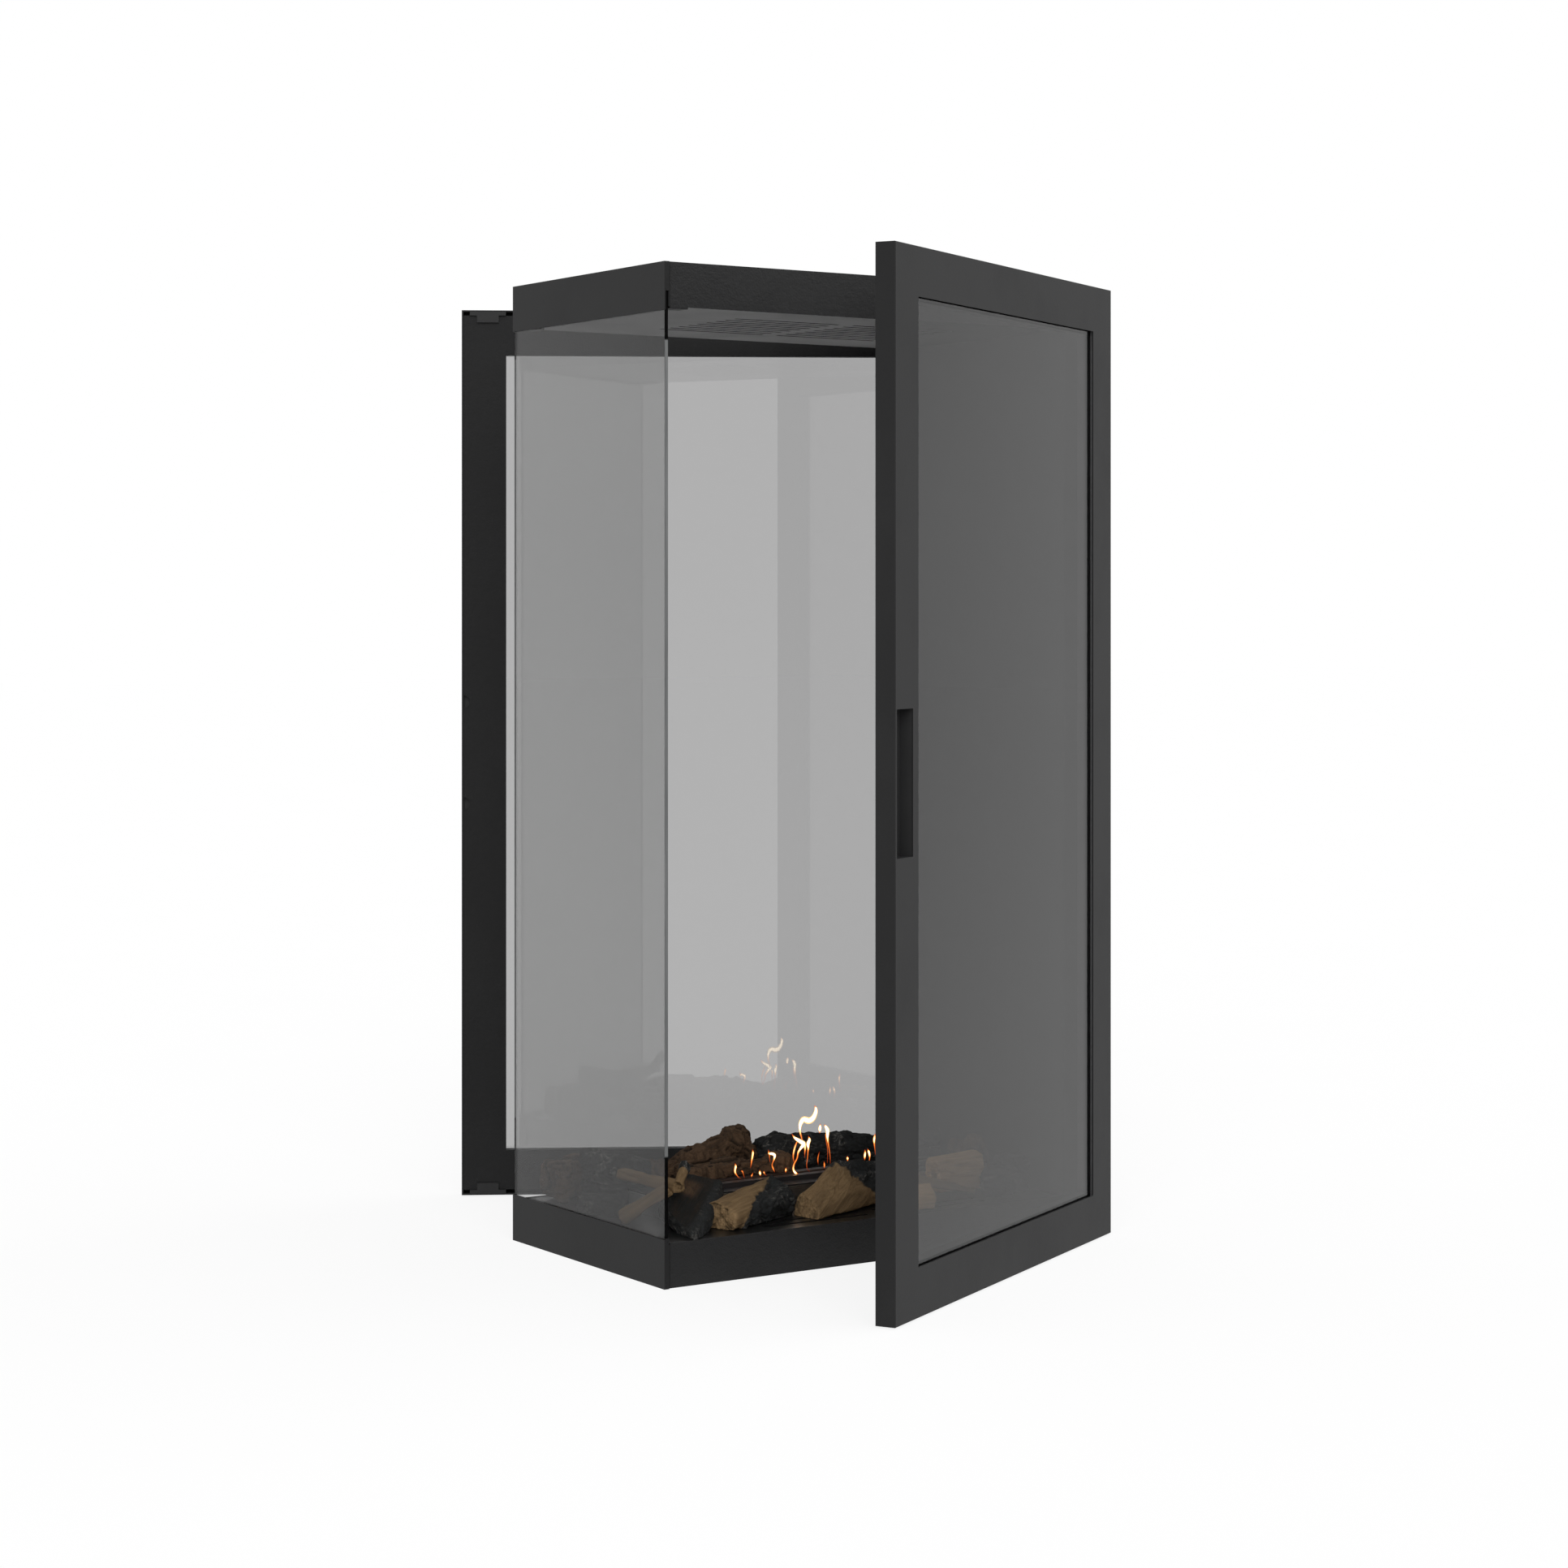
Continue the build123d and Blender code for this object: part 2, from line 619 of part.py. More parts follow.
    with BuildPart() as screws:
        with Locations(*hinge_screw_places(hand, angle)):
            add(screw.part)
    save(screws, f"{place}_door_hinge_screws")


make_door("front", 1, front_door_angle)
make_door("back", -1, back_door_angle)

# Wood set: its plan follows the hearth and the burner, its heights are measured up from the hearth plate
hearth_x = (lip_inner, -burner_half, burner_half, wall_inner)
hearth_y = (-band_back, -burner_depth / 2, burner_depth / 2, band_back)
stretches = [(real[i + 1] - real[i]) / (laid[i + 1] - laid[i])
             for laid, real in ((wood_bed_x, hearth_x), (wood_bed_y, hearth_y)) for i in range(3)]
girth = min(stretches)

# Outlines of a log's section, as shares of half its width and half its thickness
round_outline = ((-0.7, -1), (0.6, -1), (1, -0.45), (0.95, 0.4),
                 (0.5, 1), (-0.45, 0.95), (-1, 0.35), (-0.95, -0.5))
split_outline = ((-0.95, -1), (0.85, -1), (1, -0.3), (0.55, 0.8), (-0.1, 1), (-1, 0.15))
slab_outline = ((-1, -1), (0.95, -1), (1, 0.5), (0.7, 1), (-0.85, 0.9), (-1, 0.2))


def bed_point(place, lift):
    """A point of the wood bed, its plan place and its height above the hearth plate."""
    x = interp(place[0], wood_bed_x, hearth_x)
    y = interp(place[1], wood_bed_y, hearth_y)
    return Vector(x, y, hearth_top + wood_gap + lift)


def tapered_block(outline, start, finish, start_size, finish_size, lifts):
    """Add a tapered block between two places; the lifts are the heights of its underside."""
    sizes = (start_size, finish_size)
    feet = [bed_point(start, lifts[0]), bed_point(finish, lifts[1])]
    slope = feet[1] - feet[0]
    lean = Vector(slope.X, slope.Y).length / slope.length
    middles = [foot + Vector(0, 0, lean * size[1] / 2) for foot, size in zip(feet, sizes)]
    along = middles[1] - middles[0]
    across = Vector(0, 0, 1).cross(along)
    sections = []
    for point, size in zip(middles, sizes):
        with BuildSketch(Plane(origin=point, x_dir=across, z_dir=along)) as section:
            Polygon(*((x * girth * size[0] / 2, y * size[1] / 2) for x, y in outline), align=None)
        sections.append(section.sketch.faces()[0])
    loft(sections=sections, ruled=True)


def log(name, *blocks):
    """One piece of the wood set, made of one or more tapered blocks."""
    with BuildPart() as piece:
        for block in blocks:
            tapered_block(*block)
    save(piece, name)


collar_lift = burner_rise + collar_rise
lying = (0, 0)

log("log_bark_back_left", (round_outline, (-147, 108), (10, 120), (44, 54), (44, 68), lying))
log("log_charred_back_right", (round_outline, (34, 112), (238, 108), (46, 52), (44, 46), lying))
log("log_bark_on_burner",
    (slab_outline, (-134, 32), (18, 32), (40, 18), (36, 16), (collar_lift, collar_lift)))
log("log_charred_slab", (slab_outline, (-249, -153), (-140, -32), (42, 22), (34, 12), (0, 31)))
log("log_split_front", (split_outline, (-172, -131), (-74, -71), (44, 42), (44, 36), lying))
log("log_split_centre", (split_outline, (-54, -120), (88, -66), (40, 38), (40, 44), lying))
log("log_brown_left", (slab_outline, (-250, 140), (-168, 146), (40, 44), (40, 50), lying))
log("log_charcoal_left", (round_outline, (-234, 92), (-158, 66), (40, 68), (34, 52), lying))
log("log_charcoal_back", (round_outline, (186, 66), (258, 66), (34, 50), (34, 56), lying))
log("log_bark_right", (round_outline, (258, -26), (258, 18), (32, 44), (32, 47), lying))
log("log_tan_right", (slab_outline, (166, -58), (232, -62), (32, 40), (32, 44), lying))
log("log_knotted_right", (round_outline, (256, -118), (254, -78), (34, 46), (34, 42), lying))
log("log_tan_front", (split_outline, (42, -132), (100, -146), (30, 28), (34, 30), lying))
log("charred_chips",
    (slab_outline, (-264, 48), (-232, 8), (34, 24), (30, 20), lying),
    (round_outline, (198, -120), (228, -136), (34, 34), (32, 30), lying))
log("twigs",
    (round_outline, (-241, -15), (-214, -74), (16, 12), (16, 14), (0, 36)),
    (round_outline, (-252, -38), (-214, -78), (16, 12), (16, 14), (0, 36)),
    (slab_outline, (-220, 28), (-210, -84), (18, 12), (16, 14), (40, 38)),
    (round_outline, (-212, -84), (-186, -60), (14, 14), (10, 12), (40, 60)),
    (slab_outline, (100, -76), (194, -108), (10, 10), (12, 10), (22, 0)))
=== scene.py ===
import json
from collections import namedtuple
from functools import wraps

import bpy
import numpy as np
from bpy.props import FloatProperty, FloatVectorProperty, PointerProperty
from bpy.types import Operator, Panel, PropertyGroup
from mathutils import Euler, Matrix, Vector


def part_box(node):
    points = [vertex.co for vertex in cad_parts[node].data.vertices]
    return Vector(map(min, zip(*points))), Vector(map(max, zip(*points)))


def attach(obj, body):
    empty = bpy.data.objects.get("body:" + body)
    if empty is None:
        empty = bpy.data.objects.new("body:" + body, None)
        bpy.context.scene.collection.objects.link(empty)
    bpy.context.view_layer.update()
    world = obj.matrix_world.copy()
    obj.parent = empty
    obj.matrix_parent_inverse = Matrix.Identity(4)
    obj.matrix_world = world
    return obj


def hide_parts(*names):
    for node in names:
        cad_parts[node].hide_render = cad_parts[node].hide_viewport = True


bl_info = {
    "name": "Ethanol Fireplace",
    "version": (1, 0, 0),
    "blender": (4, 5, 0),
    "location": "3D View > Sidebar > Fireplace",
    "description": "Finishes, ceramic wood, flames and stage for the double-sided ethanol fireplace",
    "category": "Object",
}

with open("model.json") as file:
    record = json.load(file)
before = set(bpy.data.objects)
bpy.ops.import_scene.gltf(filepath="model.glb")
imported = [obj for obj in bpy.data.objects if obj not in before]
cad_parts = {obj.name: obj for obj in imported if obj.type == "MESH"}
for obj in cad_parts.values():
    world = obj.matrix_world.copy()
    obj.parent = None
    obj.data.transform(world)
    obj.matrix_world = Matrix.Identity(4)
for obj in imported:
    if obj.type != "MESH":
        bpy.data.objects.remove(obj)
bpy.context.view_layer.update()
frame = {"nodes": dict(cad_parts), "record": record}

MM = 0.001
CAMERA_PLACE = (-2.2231, -3.3326, 0.7552)
CAMERA_TURN = (90, 0, -33.37)
CAMERA_LENS = {"lens": 75.85, "sensor_width": 36.0, "shift_y": -0.1084, "clip_end": 200.0}
# Name, the setting with its strength, turn in degrees and width in radians
LAMPS = (("key_lamp", "key_light", (58, 0, -30), 0.9), ("fill_lamp", "fill_light", (50, 0, 60), 1.2))
WHITE = (1.0, 1.0, 1.0)
FLOOR_WHITE = 0.85  # share of plain white in what a ray sees of the floor, which leaves the rest for its shadow
COAT_CLOUDS = (0.86, 1.14)  # the coat's colour where its clouds are darkest and palest
SATIN_GRAIN = 0.0009  # width and depth of the grain on smooth surfaces
SATIN_DEPTH = 0.00002
# Near black of the painted shade on the slot walls of the ceiling louvre
SLOT_SHADE_COLOUR = (0.0005, 0.0005, 0.0005)
# Colour of the painted shade in the wood's hollows, which also darkens the flat faces of the charred slab
PAINTED_SHADE_AND_DARKENING_COLOUR = (0.006, 0.005, 0.004)
SEAL_COLOUR = (0.001, 0.001, 0.001)
SEAL_FOOT = (0.147, 0.149)  # heights over which the sealant ends, at the foot of the side pane and at its top
SEAL_TOP = (1.063, 1.061)
# Colours from the middle of the flame slot outwards, on the way to plain steel
HEAT_BANDS = ((0.0, (0.075, 0.045, 0.03)), (0.3, (0.045, 0.033, 0.03)), (0.55, (0.018, 0.0185, 0.02)))
EDGE_GLOW = ((0.0, (0.3, 0.02, 0.003)), (0.3, (0.8, 0.13, 0.02)), (0.7, (1.0, 0.42, 0.1)), (1.0, (1.0, 0.62, 0.25)))
CORE_GLOW = ((0.0, (0.045, 0.004, 0.0007)), (0.3, (0.13, 0.038, 0.006)), (0.55, (0.42, 0.23, 0.09)),
             (1.0, (1.0, 0.84, 0.58)))


# Shapes

def smooth(low, high, values):
    """0 below low, 1 above high, and between them 3t^2 - 2t^3 of the share t that is passed."""
    share = np.clip((values - low) / (high - low), 0, 1)
    return share * share * (3 - 2 * share)


def mixed(first, second, share):
    """First where the share is 0, second where it is 1, straight between."""
    return first + (second - first) * share


def scattered(cells, seed):
    """A number from 0 to 1 for each cell of whole numbers: they are multiplied by large primes, joined and folded."""
    x, y, z = np.moveaxis(cells.astype(np.int64), -1, 0)
    value = (x * 73856093) ^ (y * 19349663) ^ (z * 83492791) ^ (seed * 40503)
    value = value & 0xFFFFFFFF
    value = ((value ^ (value >> 15)) * 739982445) & 0xFFFFFFFF
    value = ((value ^ (value >> 12)) * 695872825) & 0xFFFFFFFF
    return (value ^ (value >> 16)) / 4294967295


def ripple(points, size, seed):
    """Smooth noise from -1 to 1: each corner of a grid of cubes has a scattered number, and they are blended across
    a cube by 6t^5 - 15t^4 + 10t^3 of the place t in it."""
    places = points / size
    base = np.floor(places)
    t = places - base
    t = t * t * t * (t * (6 * t - 15) + 10)
    total = np.zeros(points.shape[:-1])
    for corner in np.ndindex(2, 2, 2):
        share = np.where(corner, t, 1 - t).prod(axis=-1)
        total += share * scattered(base + corner, seed)
    return 2 * total - 1


def rough(points, size, layers, seed):
    """Ripples added in layers, each half as wide and half as high as the one before, from about -1 to 1."""
    total = np.zeros(points.shape[:-1])
    for layer in range(layers):
        total += ripple(points, size / 2 ** layer, seed + layer) / 2 ** layer
    return total / (2 - 2 ** (1 - layers))


def crazing(points, size, seed):
    """Each cube of a grid has one scattered spot, and a point belongs to its nearest spot. Returns a scattered
    level for that spot, and how much further the second nearest is, which is 0 on the cracks between them."""
    places = points / size
    base = np.floor(places)
    first = np.full(points.shape[:-1], 9.0)
    second = first.copy()
    level = np.zeros(points.shape[:-1])
    for step in np.ndindex(3, 3, 3):
        cells = base + step - 1
        spots = cells + np.stack([scattered(cells, seed + k) for k in range(3)], axis=-1)
        away = np.linalg.norm(places - spots, axis=-1)
        second = np.minimum(second, np.maximum(first, away))
        level = np.where(away < first, scattered(cells, seed + 3), level)
        first = np.minimum(first, away)
    return level, second - first


def shelves(values, count, edge):
    """Values from 0 to 1 as a stair of count treads, each riser taking the share edge of its step. Returns the stair
    and how near the foot of a riser the point is."""
    steps = np.clip(values, 0, 1) * count
    part = steps - np.floor(steps)
    return (np.floor(steps) + smooth(0, edge, part)) / count, np.exp(-(part / edge) ** 2)


def section_reach(turn, outline, sizes, corner):
    """Distance from the middle of a log's section to its surface, for each section size and each direction. Each
    side of the outline is a straight edge at a distance d, with its outward direction at an angle a, and the sides
    are joined with rounded corners by the sum of max(0, cos(turn - a) / d) ^ corner, raised to -1 / corner."""
    corners = np.array(outline) * sizes[:, None] / 2
    edges = np.roll(corners, -1, axis=1) - corners
    outward = np.stack((edges[..., 1], -edges[..., 0]), axis=-1) / np.linalg.norm(edges, axis=-1, keepdims=True)
    distance = (corners * outward).sum(axis=-1)[:, None]
    angle = np.arctan2(outward[..., 1], outward[..., 0])[:, None]
    part = np.maximum(np.cos(turn[:, None] - angle) / distance, 0) ** corner
    return part.sum(axis=-1) ** (-1 / corner)


def run_line(length, girth, rim, step):
    """The half outline of a log from pole to pole: out across one end, round its rim on a quarter circle, along the
    side, round the other rim and in again. Returns, at even steps, the place along the log, the share of the full
    girth, and the outward direction as a part along the log and a part away from it."""
    quarter = np.linspace(0, np.pi / 2, 8)
    along = np.concatenate(([0], rim - rim * np.cos(quarter)))
    away = np.concatenate(([0], girth - rim + rim * np.sin(quarter)))
    push = np.concatenate(([-1], -np.cos(quarter)))
    swell = np.concatenate(([0], np.sin(quarter)))
    along = np.concatenate((along, length - along[::-1]))
    away = np.concatenate((away, away[::-1]))
    push = np.concatenate((push, -push[::-1]))
    swell = np.concatenate((swell, swell[::-1]))
    passed = np.concatenate(([0], np.cumsum(np.hypot(np.diff(along), np.diff(away)))))
    even = np.linspace(0, passed[-1], int(passed[-1] / step) + 1)
    return [np.interp(even, passed, values) for values in (along, away / girth, push, swell)]


def tube_triangles(rings, around):
    """Triangles of a tube of rings, closed by one point before the first ring and one after the last, which turn
    their faces outward when the rings run anticlockwise seen from the tube's far end."""
    here = np.arange(rings * around).reshape(rings, around) + 1
    after = np.roll(here, -1, axis=1)
    first = np.zeros(around, dtype=int)
    last = np.full(around, rings * around + 1)
    parts = (
        (here[:-1], after[:-1], after[1:]),
        (here[:-1], after[1:], here[1:]),
        (first, after[0], here[0]),
        (here[-1], after[-1], last),
    )
    return np.concatenate([np.stack([np.ravel(corner) for corner in part], axis=-1) for part in parts])


def closed_tube(rings):
    """Points and triangles of a tube of rings, closed by a point in the middle of its first ring and of its last."""
    first, last = (ring.mean(axis=0, keepdims=True) for ring in (rings[0], rings[-1]))
    return np.concatenate((first, rings.reshape(-1, 3), last)), tube_triangles(*rings.shape[:2])


def edge_strip(low, high, side, rings=60, bevel=0.8, proud=0.12):
    """The ground edge of a pane, standing just proud of it: a profile with two bevelled corners across the pane's
    thickness, carried up from its foot to its top. Side is -1 for the front edge and 1 for the back one."""
    width = high[0] - low[0]
    across = np.array((0, 0, bevel, width - bevel, width, width))
    out = side * np.array((-bevel, 0, proud, proud, 0, -bevel))
    face = low[1] if side < 0 else high[1]
    points = np.empty((rings, len(out), 3))
    points[..., :2] = np.stack((low[0] + across, face + out), axis=-1)[::-side]
    points[..., 2] = np.linspace(low[2], high[2], rings)[:, None]
    return *closed_tube(points), {}


def joined(pieces):
    """Several surfaces as one: their points one after another, their triangles counted on, their marks in a row."""
    starts = np.cumsum([0] + [len(piece[0]) for piece in pieces[:-1]])
    points = np.concatenate([piece[0] for piece in pieces])
    triangles = np.concatenate([piece[1] + start for piece, start in zip(pieces, starts)])
    marks = {name: np.concatenate([piece[2][name] for piece in pieces]) for name in pieces[0][2]}
    return points, triangles, marks


def put_piece(name, surface, finish, body, node=None):
    """Makes an object of a surface in millimetres, gives it its finish and ties it to the frame."""
    points, triangles, marks = surface
    old = bpy.data.objects.get(name)
    if old:
        bpy.data.objects.remove(old)
    mesh = bpy.data.meshes.new(name)
    mesh.from_pydata(points * MM, [], triangles)
    mesh.polygons.foreach_set("use_smooth", np.ones(len(triangles), dtype=bool))
    for mark, values in marks.items():
        kind, field = ("FLOAT_VECTOR", "vector") if values.ndim == 2 else ("FLOAT", "value")
        layer = mesh.attributes.new(mark, kind, "POINT")
        layer.data.foreach_set(field, values.astype(np.float32).ravel())
    mesh.materials.append(finish)
    mesh.validate()
    piece = bpy.data.objects.new(name, mesh)
    bpy.context.scene.collection.objects.link(piece)
    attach(piece, body)
    if node:
        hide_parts(node)
    return piece


# Node groups and materials

def opaque(colour, factor=1.0):
    """A colour times a factor, with 1 as its fourth number."""
    return (*(factor * part for part in colour[:3]), 1.0)


def feed(tree, node, sockets):
    """Gives each named input of a node its value or another node's output."""
    for name, value in sockets.items():
        if isinstance(value, bpy.types.NodeSocket):
            tree.links.new(value, node.inputs[name])
        else:
            node.inputs[name].default_value = value


def add(tree, kind, sockets=None, **settings):
    """Adds a node. Settings are its own properties, and its inputs are fed with the sockets."""
    node = tree.nodes.new("ShaderNode" + kind)
    for name, value in settings.items():
        setattr(node, name, value)
    feed(tree, node, sockets or {})
    return node


def math(tree, operation, first, second=0.0, clamp=False):
    """Output of a Math node."""
    return add(tree, "Math", {0: first, 1: second}, operation=operation, use_clamp=clamp).outputs[0]


def colour_mix(tree, share, first, second):
    """Colour between two others; the sockets of a Mix node for colours are numbers 6 and 7, and its result is 2."""
    first, second = [end if isinstance(end, bpy.types.NodeSocket) else opaque(end) for end in (first, second)]
    return add(tree, "Mix", {0: share, 6: first, 7: second}, data_type="RGBA").outputs[2]


def colour_ramp(tree, value, stops):
    """Colour of a ramp, which has a place from 0 to 1 and a colour for each stop."""
    node = add(tree, "ValToRGB", {"Fac": value})
    elements = node.color_ramp.elements
    for place, tint in stops[1:-1]:
        elements.new(place).color = opaque(tint)
    elements[0].color, elements[-1].color = opaque(stops[0][1]), opaque(stops[-1][1])
    return node.outputs["Color"]


def spread(tree, value, low, high, start=0.0, finish=1.0):
    """A value from low to high as one from start to finish, held at both ends."""
    sockets = {"Value": value, "From Min": low, "From Max": high, "To Min": start, "To Max": finish}
    return add(tree, "MapRange", sockets).outputs[0]


def evened(tree, value, start=0.0, finish=1.0):
    """A noise's value, nearly always from 0.3 to 0.7, as one from start to finish."""
    return spread(tree, value, 0.3, 0.7, start, finish)


def object_place(tree):
    """Object coordinates."""
    return add(tree, "TexCoord").outputs["Object"]


def stretched(tree, place, stretch):
    """Coordinates times a stretch for each axis."""
    return add(tree, "VectorMath", {0: place, 1: stretch}, operation="MULTIPLY").outputs[0]


def scale_for(tree, size):
    """The scale at which a texture's detail has a size."""
    return math(tree, "DIVIDE", 1.0, size)


def noise(tree, place, scale, detail, **more):
    """Value of a noise texture."""
    return add(tree, "TexNoise", {"Vector": place, "Scale": scale, "Detail": detail, **more}).outputs["Fac"]


def bump(tree, height, depth):
    """Normal of a surface with a height on it, depth metres from the height's 0 to its 1."""
    return add(tree, "Bump", {"Height": height, "Strength": 1.0, "Distance": depth}).outputs["Normal"]


def place_group(tree, group, sockets):
    """Outputs of a group in a material, with this material's own values."""
    return add(tree, "Group", sockets, node_tree=group).outputs


def node_group(name, inputs, outputs):
    """Turns a function that works out a group's outputs into one that hands out the group, which is made once."""

    def turned(work_out):
        @wraps(work_out)
        def hand_out():
            tree = bpy.data.node_groups.get(name)
            if tree is None:
                tree = bpy.data.node_groups.new(name, "ShaderNodeTree")
                for title, kind, value in inputs:
                    socket = tree.interface.new_socket(title, in_out="INPUT", socket_type="NodeSocket" + kind)
                    socket.default_value = value
                for title, kind in outputs:
                    tree.interface.new_socket(title, in_out="OUTPUT", socket_type="NodeSocket" + kind)
                given = tree.nodes.new("NodeGroupInput").outputs
                feed(tree, tree.nodes.new("NodeGroupOutput"), work_out(tree, given))
            return tree
        return hand_out
    return turned


@node_group("Sprayed grit", [("Grain Size", "Float", 0.0009), ("Cloud Size", "Float", 0.12)],
            [("Tone", "Float"), ("Height", "Float")])
def grit_group(tree, given):
    """Sprayed grit: round grains of a given size on Object coordinates, and a wide faint cloudiness of the colour."""
    place = object_place(tree)
    fine = scale_for(tree, given["Grain Size"])
    grains = add(tree, "TexVoronoi", {"Vector": place, "Scale": fine, "Smoothness": 0.6}, feature="SMOOTH_F1")
    away = grains.outputs["Distance"]
    peel = noise(tree, place, math(tree, "MULTIPLY", fine, 0.35), 1.0)
    clouds = noise(tree, place, scale_for(tree, given["Cloud Size"]), 3.0, Roughness=0.6)
    return {"Tone": math(tree, "ADD", clouds, math(tree, "MULTIPLY", away, -0.35)),
            "Height": math(tree, "SUBTRACT", peel, math(tree, "MULTIPLY", away, 0.6))}


@node_group("Brushed lines", [("Stretch", "Vector", (20.0, 900.0, 900.0)), ("Stain Size", "Float", 0.05)],
            [("Tone", "Float"), ("Stain", "Float"), ("Height", "Float")])
def brush_group(tree, given):
    """Brushed lines: noise drawn out along one direction of Object coordinates, by a stretch for each axis."""
    place = object_place(tree)
    lines = noise(tree, stretched(tree, place, given["Stretch"]), 1.0, 4.0, Roughness=0.65)
    stains = noise(tree, place, scale_for(tree, given["Stain Size"]), 3.0, Distortion=0.5)
    return {"Tone": lines, "Stain": stains, "Height": lines}


@node_group("Fibres", [("Pitch", "Float", 0.0015), ("Hair Size", "Float", 0.004), ("Woven", "Float", 1.0)],
            [("Tone", "Float"), ("Height", "Float")])
def fibre_group(tree, given):
    """Fibres: a square weave of the given pitch on Object coordinates, broken up by loose hairs."""
    place = object_place(tree)
    fine = math(tree, "DIVIDE", 0.16, given["Pitch"])
    rows = [add(tree, "TexWave", {"Vector": place, "Scale": fine, "Distortion": 0.4}, bands_direction=axis)
            for axis in ("X", "Y", "Z")]
    crossed = math(tree, "MAXIMUM", rows[0].outputs["Fac"], rows[1].outputs["Fac"])
    crossed = math(tree, "MULTIPLY", math(tree, "MAXIMUM", crossed, rows[2].outputs["Fac"]), given["Woven"])
    hairs = noise(tree, place, scale_for(tree, given["Hair Size"]), 6.0, Distortion=2.5)
    return {"Tone": hairs, "Height": math(tree, "ADD", crossed, hairs)}


@node_group("Fired clay wood", [
    ("Light", "Color", (0.2, 0.13, 0.07, 1.0)), ("Dark", "Color", (0.1, 0.06, 0.03, 1.0)),
    ("Charcoal", "Color", (0.03, 0.03, 0.03, 1.0)), ("Ash", "Color", (0.2, 0.2, 0.2, 1.0)),
    ("Stretch", "Vector", (0.06, 1.0, 1.0)), ("Fibre Size", "Float", 0.0022),
], [("Color", "Color"), ("Roughness", "Float"), ("Height", "Float")])
def clay_group(tree, given):
    """Fired clay wood: fibres on the piece's own grain mark, painted shade in its hollows, with the parts that its
    char mark names turned to charcoal and its ash mark drawn in grey."""

    def mark(title, output="Fac"):
        return add(tree, "Attribute", attribute_name=title).outputs[output]

    grain = mark("grain", "Vector")
    fine = scale_for(tree, given["Fibre Size"])
    fibres = noise(tree, stretched(tree, grain, given["Stretch"]), fine, 5.0, Roughness=0.7)
    sand = noise(tree, grain, 900.0, 3.0, Roughness=0.7)
    clouds = noise(tree, grain, 38.0, 3.0, Roughness=0.6)
    share = math(tree, "MULTIPLY", fibres, 0.8)
    for part, weight in ((sand, 0.4), (clouds, 0.35), (mark("tone"), 0.3)):
        share = math(tree, "ADD", share, math(tree, "MULTIPLY", part, weight))
    colour = colour_mix(tree, spread(tree, share, 0.66, 1.18), given["Dark"], given["Light"])
    edge = math(tree, "ADD", mark("char"), math(tree, "MULTIPLY", clouds, 0.3))
    burnt = spread(tree, math(tree, "SUBTRACT", edge, 0.15), 0.35, 0.65)
    colour = colour_mix(tree, burnt, colour, given["Charcoal"])
    ash = math(tree, "MULTIPLY", mark("ash"), spread(tree, sand, 0.42, 0.62), clamp=True)
    colour = colour_mix(tree, ash, colour, given["Ash"])
    # Painted shade: the mark darkens the colour in the hollows towards the shade colour
    deep = math(tree, "MULTIPLY", mark("hollow"), 0.88, clamp=True)
    return {"Color": colour_mix(tree, deep, colour, PAINTED_SHADE_AND_DARKENING_COLOUR),
            "Roughness": evened(tree, sand, 0.95, 0.7),
            "Height": math(tree, "ADD", fibres, math(tree, "MULTIPLY", sand, 0.5))}


def new_finish(name, sockets=None):
    """A fresh material with a Principled shader; returns the material, its tree and the shader."""
    material = bpy.data.materials.new(name)
    material.use_nodes = True
    tree = material.node_tree
    tree.nodes.clear()
    shader = add(tree, "BsdfPrincipled", sockets)
    add(tree, "OutputMaterial", {"Surface": shader.outputs["BSDF"]})
    return material, tree, shader


def mix_in(tree, shader, share, other):
    """Puts a share of another shader into a material."""
    both = add(tree, "MixShader", {0: share, 1: shader.outputs[0], 2: other.outputs[0]})
    end = next(node for node in tree.nodes if node.type == "OUTPUT_MATERIAL")
    feed(tree, end, {"Surface": both.outputs[0]})


def toned_finish(name, group, sockets, dark, light, shine, depth, fixed=None):
    """A material whose group's Tone runs its colour from dark to light and its roughness over the shine pair, with
    the shader's fixed values."""
    material, tree, shader = new_finish(name, fixed)
    made = place_group(tree, group, sockets)
    feed(tree, shader, {
        "Base Color": colour_mix(tree, evened(tree, made["Tone"]), dark, light),
        "Roughness": evened(tree, made["Tone"], *shine),
        "Normal": bump(tree, made["Height"], depth),
    })
    return material


def coat_finish(name, colour, grain_size, shine, depth, level):
    """Powder coat: a grainy, slightly cloudy satin skin."""
    dark, light = (opaque(colour, factor) for factor in COAT_CLOUDS)
    return toned_finish(name, grit_group(), {"Grain Size": grain_size}, dark, light, shine, depth,
                        {"Specular IOR Level": level})


def slotted_finish(name, colour, shine, level):
    """A coated plate whose slot walls, which don't face up or down, are painted near black as painted shade in the
    slots: a black metal mirrors nothing.
    """
    material, tree, shader = new_finish(name, {"Specular IOR Level": level})
    made = place_group(tree, grit_group(), {"Grain Size": SATIN_GRAIN})
    facing = add(tree, "SeparateXYZ", {0: add(tree, "TexCoord").outputs["Normal"]}).outputs["Z"]
    face = spread(tree, math(tree, "ABSOLUTE", facing), 0.5, 0.9)
    dark, light = (opaque(colour, factor) for factor in COAT_CLOUDS)
    coat = colour_mix(tree, evened(tree, made["Tone"]), dark, light)
    # Painted shade: walls that don't face up or down take the near-black slot shade colour
    feed(tree, shader, {
        "Base Color": colour_mix(tree, face, SLOT_SHADE_COLOUR, coat),
        "Roughness": evened(tree, made["Tone"], *shine),
        "Metallic": math(tree, "SUBTRACT", 1.0, face),
        "Normal": bump(tree, made["Height"], SATIN_DEPTH),
    })
    return material


def brushed_finish(name, dark, light, stretch, shine, depth):
    """Metal with brushed lines."""
    return toned_finish(name, brush_group(), {"Stretch": stretch}, dark, light, shine, depth, {"Metallic": 1.0})


